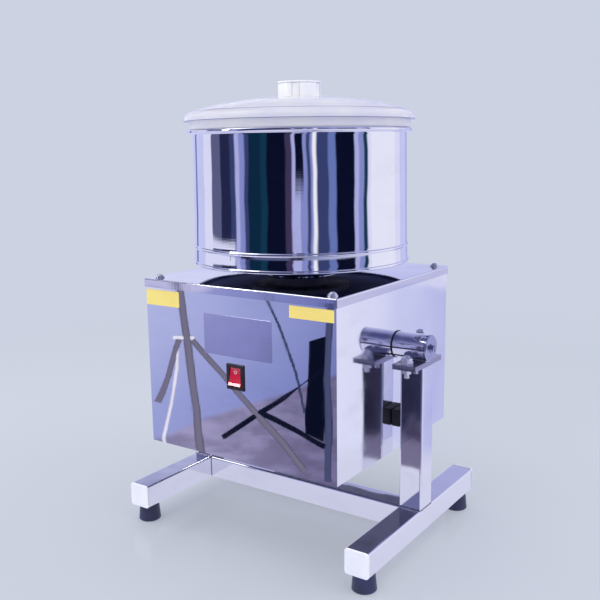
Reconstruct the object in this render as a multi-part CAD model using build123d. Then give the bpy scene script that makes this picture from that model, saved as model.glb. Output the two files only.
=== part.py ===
from build123d import *
import math
import os

os.makedirs("parts", exist_ok=True)

# Tilting table-top wet grinder. Millimetres, +Z up, floor at z = 0, front towards -Y.
# The origin is on the floor under the drum's axis. The tilt axis runs along X above it.

# Driving sizes of the stand
tube = 30.0                  # side of the square box tube
tube_wall = 1.5
tube_inner_corner = 1.0
foot_height = 23.0
skid_length = 288.0          # over the end caps
post_gap = 11.75             # between the housing's sides and the posts

# Driving sizes of the housing
housing_width = 278.5
housing_depth = 278.5
housing_height = 211.0       # from the side panels' lower edges to the top of the cover
housing_lift = 67.0          # housing above the skids
pivot_drop = 77.5            # tilt axis below the top of the cover
cover_overhang = 1.75
cover_skirt = 10.3
sheet = 1.0                  # stainless sheet of the housing

# Driving sizes of the drum, the stones and the lid
drum_gap = 17.0              # drum above the cover
drum_height = 162.7
drum_radius = 133.0          # outside of the wall, at the rim
drum_sheet = 1.2
rim_width = 6.4              # rolled rim outside the wall
stone_bed_height = 40.0      # thickness of the base stone
lid_rise = 38.8              # top of the dome above the rim
lid_wall = 2.5

# Fits and gaps
overrun = 1.0                # how far a cutter passes the face it cuts
running_gap = 0.3            # between pieces that move past each other
shaft_fit = 0.05             # radial clearance of a shaft in its bore
bolt_gap = 0.3               # radial clearance of a bolt in its hole
seat_fit = 0.05              # radial clearance of a piece that stays on its seat

sides = (-1, 1)
corners = [(i, j) for i in sides for j in sides]


def disc(radius, low, high, x=0, y=0):
    """Upright cylinder between two heights."""
    body = Cylinder(radius, high - low, align=(Align.CENTER, Align.CENTER, Align.MIN))
    return Pos(x, y, low) * body


def ring(outer, inner, low, high, x=0, y=0):
    """Upright ring between two heights."""
    return disc(outer, low, high, x, y) - disc(inner, low - overrun, high + overrun, x, y)


def block(x, y, z):
    """Box between two corners, each range given as a pair."""
    size = Box(abs(x[1] - x[0]), abs(y[1] - y[0]), abs(z[1] - z[0]))
    return Pos((x[0] + x[1]) / 2, (y[0] + y[1]) / 2, (z[0] + z[1]) / 2) * size


def along_x(shape, x, y, z):
    """Takes a shape that stands on +Z at the origin and lays it along +X from the given point."""
    return Pos(x, y, z) * Rot(0, 90, 0) * shape


def along_y(shape, x, y, z):
    """Takes a shape that stands on +Z at the origin and lays it along +Y from the given point."""
    return Pos(x, y, z) * Rot(-90, 0, 0) * shape


def turned(points):
    """Solid turned about Z from an outline of (radius, height) points."""
    outline = Polyline([(r, 0, z) for r, z in points], close=True)
    return revolve(make_face(outline), Axis.Z)


def mirrored(shape):
    """The same piece on the other side of the grinder."""
    return mirror(shape, Plane.YZ)


def hexagon(across_flats, height):
    """Hexagonal prism on +Z from the origin."""
    return extrude(RegularPolygon(across_flats / math.sqrt(3), 6), height)


def screw(shank, shank_length, head_flats, head_height):
    """Hex screw with its head on +Z from the origin and its shank below."""
    return hexagon(head_flats, head_height) + disc(shank, -shank_length, 0)


dome_flat_share = 0.94       # a cap nut's dome against its flats
dome_tip_share = 0.45


def dome_nut(flats, nut_height, dome_height, bore):
    """Cap nut on +Z from the origin, with a blind bore from below."""
    dome = flats / 2 * dome_flat_share
    cap = [(0, nut_height), (dome, nut_height), (dome, nut_height + dome_height / 2),
           (dome * dome_tip_share, nut_height + dome_height), (0, nut_height + dome_height)]
    return hexagon(flats, nut_height) + turned(cap) - disc(bore, -overrun, nut_height)


def save(shape, node):
    """Writes one node."""
    shape.label = node
    export_step(shape, "parts/" + node + ".step")


def group(shapes):
    """Separate solids that share one node."""
    return Compound(children=[solid for shape in shapes for solid in shape.solids()])


# Heights and widths that follow from the driving sizes
stand_half_width = housing_width / 2 + post_gap + tube    # outer faces of the skids and posts
skid_bottom = foot_height
skid_top = skid_bottom + tube
skid_middle = skid_bottom + tube / 2
skid_centre = stand_half_width - tube / 2     # x of the skids and posts
skid_inner = stand_half_width - tube
panel_face = housing_width / 2                # x of the side panels' outer faces
panel_inner = panel_face - sheet
front_face = housing_depth / 2
front_inner = front_face - sheet
housing_bottom = skid_top + housing_lift
cover_top = housing_bottom + housing_height
pivot_height = cover_top - pivot_drop
cover_underside = cover_top - sheet
drum_bottom = cover_top + drum_gap
drum_rim = drum_bottom + drum_height
rim_radius = drum_radius + rim_width
lid_top = drum_rim + lid_rise

# Pivot block
barrel_radius = 15.875       # a 1 1/4 inch bar
pivot_plate = 3.0            # thickness of each of the two plates
pivot_plate_length = 70.0
saddle_width = 14.0
saddle_bite = 1.5            # how far the saddle's weld reaches into the barrel
trunnion_radius = 10.0
thrust_washer = 1.0
thrust_washer_radius = 16.6
barrel_start = panel_face + thrust_washer + running_gap
barrel_end = stand_half_width
barrel_bottom = pivot_height - barrel_radius
post_top = barrel_bottom - 2 * pivot_plate
plate_bolt_radius = 3.0
plate_bolt_place = 27.0      # y of the plate bolts
plate_bolt_overhang = 5.5    # thread showing under the lower nut
plate_nut_flats = 14.0       # cap nut above the plates
plate_nut_height = 5.0
plate_nut_dome = 5.5
lower_nut_flats = 10.0       # hex nut below them
lower_nut_height = 5.0


def box_tube(length):
    """Square box tube on +Z from the origin."""
    outside = RectangleRounded(tube, tube, tube_inner_corner + tube_wall)
    inside = RectangleRounded(tube - 2 * tube_wall, tube - 2 * tube_wall, tube_inner_corner)
    return extrude(outside - inside, length)


# Skids, cross tube and posts
cap_flange = 2.0
cap_plug = 9.0
cap_fit = 0.1
foot_inset = 18.0            # foot axis from the skid's end
foot_bolt_radius = 3.0
foot_x = skid_centre
foot_y = skid_length / 2 - foot_inset


def skid():
    length = skid_length - 2 * cap_flange
    body = along_y(box_tube(length), skid_centre, -length / 2, skid_middle)
    for j in sides:
        body -= disc(foot_bolt_radius + bolt_gap, skid_bottom - overrun, skid_bottom + tube_wall + overrun,
                     foot_x, j * foot_y)
    return body


def cross_tube():
    return along_x(box_tube(2 * skid_inner), -skid_inner, 0, skid_middle)


cap_overhang = 0.5           # cap outside the tube on each side
cap_corner = 4.0
cap_edge = 1.2               # rounding of a cap's outer edges


def skid_cap(end):
    """Plastic plug that closes one end of the right skid."""
    seat = end * (skid_length / 2 - cap_flange)
    plug_half = tube / 2 - tube_wall - cap_fit
    cap_side = tube + 2 * cap_overhang
    flange = extrude(RectangleRounded(cap_side, cap_side, cap_corner), cap_flange)
    outer_edges = flange.edges().filter_by(Plane.XY).group_by(Axis.Z)[-1]
    flange = fillet(outer_edges, cap_edge)
    plug = extrude(RectangleRounded(2 * plug_half, 2 * plug_half, tube_inner_corner), -cap_plug)
    return Pos(skid_centre, seat, skid_middle) * Rot(-90 * end, 0, 0) * (flange + plug)


# Feet
foot_top_radius = 12.5
foot_base_radius = 14.5
foot_rounding = 1.5
foot_recess_radius = 7.0
foot_recess_depth = 9.0
foot_head_radius = 5.5
foot_head_height = 3.5
foot_nut_flats = 10.0
foot_nut_height = 5.0


def foot(x, y):
    """Rubber foot, recessed from below for its bolt."""
    outline = [(0, 0), (foot_base_radius - foot_rounding, 0), (foot_base_radius, foot_rounding),
               (foot_top_radius, foot_height), (0, foot_height)]
    body = turned(outline) - disc(foot_recess_radius, -overrun, foot_recess_depth)
    body -= disc(foot_bolt_radius + bolt_gap, 0, foot_height + overrun)
    return Pos(x, y, 0) * body


def foot_bolt(x, y):
    """Pan-head bolt up through the foot and the skid's lower wall, with its nut."""
    head = disc(foot_head_radius, foot_recess_depth - foot_head_height, foot_recess_depth)
    nut_seat = skid_bottom + tube_wall
    shank = disc(foot_bolt_radius, foot_recess_depth, nut_seat + foot_nut_height)
    nut = Pos(0, 0, nut_seat) * hexagon(foot_nut_flats, foot_nut_height)
    return Pos(x, y, 0) * (head + shank + nut)


def plate_holes(body):
    """Holes for the bolts that clamp the two pivot plates."""
    for j in sides:
        body -= disc(plate_bolt_radius + bolt_gap, post_top - overrun, barrel_bottom + overrun,
                     skid_centre, j * plate_bolt_place)
    return body


def post():
    """Upright box tube with the lower pivot plate welded on its top."""
    half = pivot_plate_length / 2
    plate = block((skid_inner, stand_half_width), (-half, half), (post_top, post_top + pivot_plate))
    return Pos(skid_centre, 0, skid_top) * box_tube(post_top - skid_top) + plate_holes(plate)


def pivot_block():
    """Barrel that carries the trunnion, welded on its own plate by a saddle."""
    half = pivot_plate_length / 2
    plate = block((skid_inner, stand_half_width), (-half, half), (post_top + pivot_plate, barrel_bottom))
    saddle = block((skid_inner, stand_half_width), (-saddle_width / 2, saddle_width / 2),
                   (barrel_bottom - saddle_bite, barrel_bottom + saddle_bite + saddle_bite))
    barrel = along_x(disc(barrel_radius, 0, barrel_end - barrel_start), barrel_start, 0, pivot_height)
    bore = along_x(disc(trunnion_radius + shaft_fit, -overrun, barrel_end - barrel_start + overrun),
                   barrel_start, 0, pivot_height)
    return plate_holes(plate) + saddle + barrel - bore


def plate_bolt(j):
    """Stud through both pivot plates with a hex nut below them."""
    reach = 2 * pivot_plate + plate_nut_height
    stud = disc(plate_bolt_radius, -lower_nut_height - plate_bolt_overhang, reach)
    nut = Pos(0, 0, -lower_nut_height) * hexagon(lower_nut_flats, lower_nut_height)
    return Pos(skid_centre, j * plate_bolt_place, post_top) * (nut + stud)


def plate_nut(j):
    """Cap nut on the stud above the plates."""
    nut = dome_nut(plate_nut_flats, plate_nut_height, plate_nut_dome, plate_bolt_radius + seat_fit)
    return Pos(skid_centre, j * plate_bolt_place, barrel_bottom) * nut


# Rubber pads on the posts that keep the housing from rattling
pad_drop = 50.6              # pad below the post's top
pad_height = 27.0
pad_top = post_top - pad_drop


def rub_pad():
    return block((panel_face + running_gap, skid_inner), (-tube / 2, tube / 2), (pad_top - pad_height, pad_top))


# Trunnions, turning with the housing
carrier_plate = 4.0          # thickness of the trunnion's plate inside the housing
carrier_plate_inset = 39.25  # trunnion plate's ends from the housing's front and back
carrier_plate_drop = 38.0    # plate below the tilt axis
deck_drop = 42.0             # deck below the cover's top
deck_plate = 3.0
deck_flange = 25.0
deck_inset = 14.25           # deck's ends from the housing's front and back
deck_bolt_radius = 3.0
deck_bolt_spacing = 70.0
deck_bolt_height = 11.0      # above the deck flange's lower edge
deck_head_flats = 10.0
deck_head_height = 4.0
side_bolt_place = 64.0       # behind the tilt axis
side_bolt_radius = 3.0
side_bolt_head = 4.0
side_nut_flats = 10.0
side_nut_height = 3.0
side_nut_dome = 3.2
end_disc_width = 3.0
end_disc_edge = 1.2          # chamfer of its rim
end_screw_radius = 3.0
end_screw_length = 14.0
end_washer_radius = 5.5
end_washer = 1.0
end_head_radius = 3.9
end_head_height = 3.0
end_slot_width = 1.0
end_slot_depth = 1.4
carrier_inner = panel_inner - carrier_plate
carrier_plate_half = front_face - carrier_plate_inset
deck_half_depth = front_face - deck_inset
deck_top = cover_top - deck_drop
trunnion_end = barrel_end + running_gap
deck_underside = deck_top - deck_plate
deck_flange_bottom = deck_top - deck_flange
deck_bolt_z = deck_flange_bottom + deck_bolt_height
deck_bolt_places = [k * deck_bolt_spacing for k in (-1, 0, 1)]


def trunnion():
    """Stub shaft on a plate that lies inside the side panel and carries the deck."""
    half = carrier_plate_half
    plate = block((carrier_inner, panel_inner), (-half, half), (pivot_height - carrier_plate_drop, deck_top))
    shaft = along_x(disc(trunnion_radius, 0, trunnion_end - carrier_inner), carrier_inner, 0, pivot_height)
    body = plate + shaft
    body -= along_x(disc(side_bolt_radius + bolt_gap, -overrun, carrier_plate + overrun),
                    carrier_inner, side_bolt_place, pivot_height)
    for y in deck_bolt_places:
        body -= along_x(disc(deck_bolt_radius + bolt_gap, -overrun, carrier_plate + overrun),
                        carrier_inner, y, deck_bolt_z)
    tapped = disc(end_screw_radius + seat_fit, 0, end_screw_length + overrun)
    return body - along_x(tapped, trunnion_end - end_screw_length, 0, pivot_height)


def thrust_ring():
    """Dark washer between the side panel and the barrel."""
    return along_x(ring(thrust_washer_radius, trunnion_radius + seat_fit, 0, thrust_washer),
                   panel_face, 0, pivot_height)


def end_disc():
    """Disc with a chamfered rim that closes the barrel's outer end."""
    edge = barrel_radius - end_disc_edge
    body = turned([(0, 0), (barrel_radius, 0), (barrel_radius, end_disc_width - end_disc_edge),
                   (edge, end_disc_width), (0, end_disc_width)])
    body -= disc(end_screw_radius + bolt_gap, -overrun, end_disc_width + overrun)
    return along_x(body, trunnion_end, 0, pivot_height)


def end_screw():
    """Slotted pan-head screw with a washer, in the trunnion's end."""
    length, top = end_screw_length + end_disc_width, end_washer + end_head_height
    body = disc(end_screw_radius, -length, end_washer) + disc(end_washer_radius, 0, end_washer)
    body += disc(end_head_radius, end_washer, top)
    body -= block((-end_head_radius - overrun, end_head_radius + overrun), (-end_slot_width / 2, end_slot_width / 2),
                  (top - end_slot_depth, top + overrun))
    return along_x(body, trunnion_end + end_disc_width, 0, pivot_height)


def side_bolt():
    """Bolt from inside through the trunnion's plate and the side panel, with its cap nut outside."""
    reach = carrier_plate + sheet
    bolt = disc(side_bolt_radius, 0, reach + side_nut_height)
    bolt += Pos(0, 0, -side_bolt_head) * hexagon(deck_head_flats, side_bolt_head)
    nut = dome_nut(side_nut_flats, side_nut_height, side_nut_dome, side_bolt_radius + seat_fit)
    pieces = (bolt, Pos(0, 0, reach) * nut)
    return group([along_x(piece, carrier_inner, side_bolt_place, pivot_height) for piece in pieces])


# Housing sheets
panel_return = 12.0
trunnion_hole_gap = 0.5
corner_tab = 26.0
corner_tab_plate = 3.0
corner_leg = 20.0
cover_bolt_inset = 14.0      # from the cover's edges
cover_bolt_radius = 2.5
cover_bolt_length = 12.0
cover_washer_radius = 6.0
cover_washer = 1.0
cover_head_radius = 4.6
cover_head_height = 3.4
cover_half = housing_width / 2 + cover_overhang
cover_half_depth = housing_depth / 2 + cover_overhang
cover_bolt_x = cover_half - cover_bolt_inset
cover_bolt_y = cover_half_depth - cover_bolt_inset
cover_bend = 1.4             # outer bend radius of the cover's edges
return_face = front_inner - sheet             # inner face of the side panels' returns


def side_panel():
    """Right side panel with its front and back returns."""
    low, high = housing_bottom, cover_underside
    body = block((panel_inner, panel_face), (-front_inner, front_inner), (low, high))
    for j in sides:
        body += block((panel_face - panel_return, panel_face), (j * return_face, j * front_inner),
                      (low + sheet, high))
    hole = disc(trunnion_radius + trunnion_hole_gap, -overrun, sheet + overrun)
    body -= along_x(hole, panel_inner, 0, pivot_height)
    hole = disc(side_bolt_radius + bolt_gap, -overrun, sheet + overrun)
    return body - along_x(hole, panel_inner, side_bolt_place, pivot_height)


# Rocker switch
switch_drop = 106.5          # middle of the switch below the cover's top
bezel_width = 25.5
bezel_height = 31.0
bezel_thickness = 2.0
bezel_edge = 0.8
switch_body_width = 21.8
switch_body_height = 26.8
switch_body_depth = 25.0
switch_cut_gap = 0.1
window_width = 17.0
window_height = 24.0
window_depth = 10.0          # from the bezel's face
rocker_half_height = 10.4
rocker_side_gap = 0.3
rocker_swing = 20.0          # degrees between off and on
rocker_crest = -0.7          # the middle of the rocker in front of the bezel, in mid swing
rocker_tip = 0.7             # its ends in front of the bezel, in mid swing
rocker_pin_radius = 1.2
rocker_pin_reach = 1.0
rocker_pivot_depth = 3.5     # pivot behind the bezel's face
rocker_back = 2.5            # rocker body behind its pivot
switch_height = cover_top - switch_drop
bezel_face = front_face + bezel_thickness
rocker_pivot_y = -(bezel_face - rocker_pivot_depth)


def switch_body():
    """Black case of the rocker switch, with its bezel and window."""
    half_w, half_h = bezel_width / 2, bezel_height / 2
    bezel = block((-half_w, half_w), (-bezel_face, -front_face), (switch_height - half_h, switch_height + half_h))
    bezel = fillet(bezel.edges().group_by(Axis.Y)[0], bezel_edge)
    case_w, case_h = switch_body_width / 2, switch_body_height / 2
    case = block((-case_w, case_w), (-front_face, -front_face + switch_body_depth),
                 (switch_height - case_h, switch_height + case_h))
    window = block((-window_width / 2, window_width / 2), (-bezel_face - overrun, -bezel_face + window_depth),
                   (switch_height - window_height / 2, switch_height + window_height / 2))
    pins = window_width + 2 * (rocker_pin_reach + running_gap)
    pin_holes = along_x(disc(rocker_pin_radius + shaft_fit, 0, pins), -pins / 2, rocker_pivot_y, switch_height)
    return bezel + case - window - pin_holes


def rocker():
    """Rocker key, resting with its top pressed in, which is off."""
    face = -bezel_face
    h = rocker_half_height
    outline = [(face - rocker_tip, -h), (face - rocker_crest, 0), (face - rocker_tip, h),
               (rocker_pivot_y + rocker_back, h), (rocker_pivot_y + rocker_back, -h)]
    half_w = window_width / 2 - rocker_side_gap
    wire = Polyline([(-half_w, y, switch_height + z) for y, z in outline], close=True)
    key = extrude(make_face(wire), 2 * half_w, dir=(1, 0, 0))
    pin = window_width + 2 * rocker_pin_reach
    key += along_x(disc(rocker_pin_radius, 0, pin), -pin / 2, rocker_pivot_y, switch_height)
    turn = Pos(0, rocker_pivot_y, switch_height) * Rot(-rocker_swing / 2, 0, 0)
    return turn * Pos(0, -rocker_pivot_y, -switch_height) * key


def front_panel():
    """Flat front sheet with the switch's cut-out."""
    low, high = housing_bottom, cover_underside
    body = block((-panel_face, panel_face), (-front_face, -front_inner), (low, high))
    cut_w = switch_body_width / 2 + switch_cut_gap
    cut_h = switch_body_height / 2 + switch_cut_gap
    return body - block((-cut_w, cut_w), (-front_face - overrun, -front_inner + overrun),
                        (switch_height - cut_h, switch_height + cut_h))


# Back panel vents and the cord's grommet
vent_width = 44.0
vent_height = 4.0
vent_pitch = 11.0
vent_rows = 7
vent_lift = 30.0             # lowest vent above the housing's lower edge
vent_inset = 77.25           # middle of a vent column from the housing's side
louvre_rise = 2.2
grommet_x = 0.0
grommet_lift = 30.0          # grommet above the housing's lower edge
grommet_hole = 8.0
grommet_flange = 11.0
grommet_bore = 4.0
grommet_proud = 3.6
grommet_inside = 3.0
vent_column = panel_face - vent_inset
vent_lowest = housing_bottom + vent_lift
grommet_z = housing_bottom + grommet_lift


def back_panel():
    """Back sheet with two columns of louvred vents and the grommet's hole."""
    body = block((-panel_face, panel_face), (front_inner, front_face), (housing_bottom, cover_underside))
    for i in sides:
        for row in range(vent_rows):
            z = vent_lowest + row * vent_pitch
            x = (i * vent_column - vent_width / 2, i * vent_column + vent_width / 2)
            body += block(x, (front_face, front_face + louvre_rise), (z, z + vent_height + sheet))
            body -= block((x[0] + sheet, x[1] - sheet), (front_inner - overrun, front_face + louvre_rise - sheet),
                          (z - overrun, z + vent_height))
    hole = disc(grommet_hole, -overrun, sheet + overrun)
    return body - along_y(hole, grommet_x, front_inner, grommet_z)


def grommet():
    """Rubber grommet where the supply cord would enter."""
    low, high = -sheet - grommet_inside, grommet_proud
    neck = grommet_hole - seat_fit
    outline = [(grommet_bore, low), (grommet_flange, low), (grommet_flange, -sheet), (neck, -sheet),
               (neck, 0), (grommet_flange, 0), (grommet_flange - grommet_proud / 2, high), (grommet_bore, high)]
    return along_y(turned(outline), grommet_x, front_face, grommet_z)


# Top cover
cover_hole = 46.0            # radius of the hole round the drum's hub
cover_collar = 2.0           # height of the upstand round that hole


def top_cover():
    """Top cover with a turned-down skirt, four bolt holes and a raised collar round the hub."""
    body = block((-cover_half, cover_half), (-cover_half_depth, cover_half_depth),
                 (cover_top - cover_skirt, cover_top))
    body = fillet(body.edges().filter_by(Axis.Z), cover_bend)
    body = fillet(body.faces().sort_by(Axis.Z)[-1].edges(), cover_bend)
    inner, inner_depth = cover_half - sheet, cover_half_depth - sheet
    body -= block((-inner, inner), (-inner_depth, inner_depth), (cover_top - cover_skirt - overrun, cover_underside))
    body += disc(cover_hole + sheet, cover_underside, cover_top + cover_collar)
    body -= disc(cover_hole, cover_underside - overrun, cover_top + cover_collar + overrun)
    for i, j in corners:
        body -= disc(cover_bolt_radius + bolt_gap, cover_underside - overrun, cover_top + overrun,
                     i * cover_bolt_x, j * cover_bolt_y)
    return body


def corner_bracket(i, j):
    """Bent tab under one corner of the cover, on the side panel's inner face."""
    x = (i * (panel_inner - corner_tab), i * panel_inner)
    y = (j * (return_face - corner_tab), j * return_face)
    tab = block(x, y, (cover_underside - corner_tab_plate, cover_underside))
    leg = block((i * (panel_inner - corner_tab_plate), i * panel_inner), y,
                (cover_underside - corner_tab_plate - corner_leg, cover_underside))
    hole = disc(cover_bolt_radius + seat_fit, cover_underside - corner_tab_plate - overrun,
                cover_underside + overrun, i * cover_bolt_x, j * cover_bolt_y)
    return tab + leg - hole


def cover_bolt(i, j):
    """Dome-headed bolt with its washer on the cover."""
    shank, washer_top = cover_bolt_radius, cover_washer
    outline = [(0, -cover_bolt_length), (shank, -cover_bolt_length), (shank, 0), (cover_washer_radius, 0),
               (cover_washer_radius, washer_top), (cover_head_radius, washer_top),
               (cover_head_radius, washer_top + cover_head_height / 2),
               (cover_head_radius / 2, washer_top + cover_head_height), (0, washer_top + cover_head_height)]
    return Pos(i * cover_bolt_x, j * cover_bolt_y, cover_top) * turned(outline)


# Bottom tray
tray_flange = 12.0
tray_gap = 1.0
tray_slot_width = 5.0
tray_slot_length = 70.0
tray_slot_pitch = 14.0
tray_slots = 9


def bottom_tray():
    """Bottom sheet with upturned flanges and cooling slots."""
    low, top = housing_bottom, housing_bottom + sheet
    body = block((-panel_inner, panel_inner), (-front_inner, front_inner), (low, top))
    side_run = return_face - tray_gap
    end_run = panel_face - panel_return - tray_gap
    for i in sides:
        body += block((i * (panel_inner - sheet), i * panel_inner), (-side_run, side_run), (low, low + tray_flange))
        body += block((-end_run, end_run), (i * (front_inner - sheet), i * front_inner), (low, low + tray_flange))
    start = -tray_slot_pitch * (tray_slots - 1) / 2
    for k in range(tray_slots):
        x = start + k * tray_slot_pitch
        body -= block((x - tray_slot_width / 2, x + tray_slot_width / 2), (-tray_slot_length / 2, tray_slot_length / 2),
                      (low - overrun, top + overrun))
    return body


# Deck inside the housing that carries the spindle and the motor
motor_radius = 47.0
motor_side_gap = 4.25        # motor from the deck's flange
motor_back_gap = 11.25       # motor from the back panel
motor_x = motor_radius + motor_side_gap + deck_plate - carrier_inner
motor_y = front_inner - motor_radius - motor_back_gap
motor_shaft_hole = 17.0
motor_bolt_circle = 36.0
motor_bolt_radius = 2.5
motor_bolt_length = 11.0
motor_bolt_flats = 8.0
motor_bolt_head = 3.5
spindle_flange = 48.0
spindle_flange_height = 8.0
spindle_bolt_circle = 38.0
spindle_bolt_radius = 3.0
spindle_bolt_flats = 10.0
spindle_bolt_head = 4.0
spindle_nut_height = 5.0
quarter_turns = [math.radians(a) for a in (45, 135, 225, 315)]
spindle_bolt_places = [(spindle_bolt_circle * math.cos(a), spindle_bolt_circle * math.sin(a)) for a in quarter_turns]
motor_bolt_places = [(motor_x + motor_bolt_circle * math.cos(a), motor_y + motor_bolt_circle * math.sin(a))
                     for a in quarter_turns]


def drive_deck():
    """Steel deck between the two trunnion plates, with turned-down sides."""
    half_w, half_d = carrier_inner, deck_half_depth
    body = block((-half_w, half_w), (-half_d, half_d), (deck_underside, deck_top))
    for i in sides:
        body += block((i * (half_w - deck_plate), i * half_w), (-half_d, half_d), (deck_flange_bottom, deck_top))
        for y in deck_bolt_places:
            hole = disc(deck_bolt_radius + bolt_gap, -overrun, deck_plate + 2 * overrun)
            body -= along_x(hole, min(i * (half_w - deck_plate), i * half_w), y, deck_bolt_z)
    for x, y in spindle_bolt_places:
        body -= disc(spindle_bolt_radius + bolt_gap, deck_underside - overrun, deck_top + overrun, x, y)
    for x, y in motor_bolt_places:
        body -= disc(motor_bolt_radius + bolt_gap, deck_underside - overrun, deck_top + overrun, x, y)
    return body - disc(motor_shaft_hole, deck_underside - overrun, deck_top + overrun, motor_x, motor_y)


def deck_bolt(i, y):
    """Screw from inside through the deck's flange into the trunnion plate."""
    start = carrier_inner - deck_plate
    body = Rot(180, 0, 0) * screw(deck_bolt_radius, deck_plate + carrier_plate, deck_head_flats, deck_head_height)
    body = along_x(body, start, y, deck_bolt_z)
    return body if i > 0 else mirrored(body)


# Fixed spindle and the drum's hub on it
spindle_radius = 10.0
spindle_shoulder = 13.0
shoulder_height = 2.5
bearing_width = 14.0
bearing_outer = 23.5
inner_race = 14.5
outer_race = 14.8
bearing_space = 13.5         # between the two bearings
spindle_step_lift = 65.8     # base stone to the spindle's step, where the stone yoke sits
spindle_stud = 8.0           # radius above that step
spindle_flats = 12.0         # across the two flats that keep the yoke from turning
spindle_flat_height = 12.0
drum_floor_lift = 3.0        # the drum's floor above its lower hem
knob_lift = 42.0             # tension knob above the spindle's step
knob_length = 34.0
knob_cover = 7.0             # knob's closed end above the spindle
drum_floor = drum_bottom + drum_floor_lift    # underside of the drum's floor
floor_top = drum_floor + drum_sheet
stone_top = floor_top + stone_bed_height
spindle_step = stone_top + spindle_step_lift
knob_bottom = spindle_step + knob_lift
knob_top = knob_bottom + knob_length
spindle_top = knob_top - knob_cover
bearing_low = deck_top + spindle_flange_height + shoulder_height
bearing_high = bearing_low + bearing_width + bearing_space


def centre_spindle():
    """Fixed spindle with its foot flange, the bearing shoulder and the flatted stud."""
    flange_top = deck_top + spindle_flange_height
    outline = [(0, deck_top), (spindle_flange, deck_top), (spindle_flange, flange_top),
               (spindle_shoulder, flange_top), (spindle_shoulder, bearing_low), (spindle_radius, bearing_low),
               (spindle_radius, spindle_step), (spindle_stud, spindle_step), (spindle_stud, spindle_top),
               (0, spindle_top)]
    body = turned(outline)
    for x, y in spindle_bolt_places:
        body -= disc(spindle_bolt_radius + bolt_gap, deck_top - overrun, flange_top + overrun, x, y)
    for j in sides:
        flat = j * spindle_flats / 2
        body -= block((-spindle_stud - overrun, spindle_stud + overrun), (flat, j * (spindle_stud + overrun)),
                      (spindle_step, spindle_step + spindle_flat_height))
    return body


def spindle_bolt(x, y):
    """Bolt through the spindle's flange and the deck, with its nut below."""
    top = deck_top + spindle_flange_height
    length = spindle_flange_height + deck_plate + spindle_nut_height
    nut = Pos(0, 0, -length) * hexagon(spindle_bolt_flats, spindle_nut_height)
    return Pos(x, y, top) * (screw(spindle_bolt_radius, length, spindle_bolt_flats, spindle_bolt_head) + nut)


def inner_races():
    """Inner rings of the two bearings with the spacer between them."""
    bore = spindle_radius + seat_fit
    races = [ring(inner_race, bore, low, low + bearing_width) for low in (bearing_low, bearing_high)]
    return group(races + [ring(spindle_shoulder, bore, bearing_low + bearing_width, bearing_high)])


def outer_races():
    """Outer rings of the two bearings, drawn with their shields."""
    races = [ring(bearing_outer - seat_fit, outer_race, low, low + bearing_width)
             for low in (bearing_low, bearing_high)]
    return group(races)


hub_radius = 30.0
hub_body_radius = 33.0
hub_shoulder_radius = 20.0   # bore between the bearings
hub_flange_radius = 62.0
hub_flange_height = 6.0
hub_bolt_circle = 50.0
hub_bolt_radius = 3.0
hub_bolt_head = 4.0
hub_bolt_flats = 10.0
pulley_width = 14.0
hub_bottom_gap = 1.2         # hub above the spindle's flange
hub_bottom = deck_top + spindle_flange_height + hub_bottom_gap
hub_flange_bottom = drum_floor - hub_flange_height
pulley_bottom = deck_top + spindle_flange_height + spindle_bolt_head + 2 * running_gap
pulley_top = pulley_bottom + pulley_width
hub_bolt_places = [(hub_bolt_circle * math.cos(a), hub_bolt_circle * math.sin(a)) for a in quarter_turns]


def drum_hub():
    """Cast hub that turns on the spindle and carries the drum on its flange."""
    outline = [(bearing_outer, hub_bottom), (hub_radius, hub_bottom), (hub_radius, pulley_top),
               (hub_body_radius, pulley_top), (hub_body_radius, hub_flange_bottom),
               (hub_flange_radius, hub_flange_bottom), (hub_flange_radius, drum_floor),
               (bearing_outer, drum_floor), (bearing_outer, bearing_high), (hub_shoulder_radius, bearing_high),
               (hub_shoulder_radius, bearing_low + bearing_width), (bearing_outer, bearing_low + bearing_width)]
    body = turned(outline)
    for x, y in hub_bolt_places:
        body -= disc(hub_bolt_radius + seat_fit, hub_flange_bottom - overrun, drum_floor + overrun, x, y)
    return body


# Drum pulley and belt
drive_ratio = 8
pulley_gap = 2.0             # least gap between the two pulleys
pulley_rim = 6.0
pulley_web = 4.0
pulley_boss = 42.0
pulley_holes = 5
pulley_hole_edge = 7.0       # web left round the lightening holes
motor_pulley_flange = 1.5
motor_pulley_lip = 3.0
motor_shaft = 5.0
belt_thickness = 3.0
belt_width = 12.0
belt_gap = 0.3
pulley_middle = (pulley_bottom + pulley_top) / 2
belt_centres = math.hypot(motor_x, motor_y)
pulley_space = belt_centres - motor_pulley_lip - pulley_gap
pulley_radius = math.floor(pulley_space * drive_ratio / (drive_ratio + 1))    # a whole number of millimetres
motor_pulley_radius = pulley_radius / drive_ratio
pulley_rim_inner = pulley_radius - pulley_rim
pulley_hole_circle = (pulley_boss + pulley_rim_inner) / 2
pulley_hole_radius = (pulley_rim_inner - pulley_boss) / 2 - pulley_hole_edge


def drum_pulley():
    """Large flat pulley with a rim, a web with lightening holes and a boss on the hub."""
    web_low, web_high = pulley_middle - pulley_web / 2, pulley_middle + pulley_web / 2
    outline = [(hub_radius + seat_fit, web_low), (pulley_rim_inner, web_low), (pulley_rim_inner, pulley_bottom),
               (pulley_radius, pulley_bottom), (pulley_radius, pulley_top), (pulley_rim_inner, pulley_top),
               (pulley_rim_inner, web_high), (pulley_boss, web_high), (pulley_boss, pulley_top),
               (hub_radius + seat_fit, pulley_top)]
    body = turned(outline)
    for k in range(pulley_holes):
        a = 2 * math.pi * k / pulley_holes
        body -= disc(pulley_hole_radius, web_low - overrun, web_high + overrun,
                     pulley_hole_circle * math.cos(a), pulley_hole_circle * math.sin(a))
    return body


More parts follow.
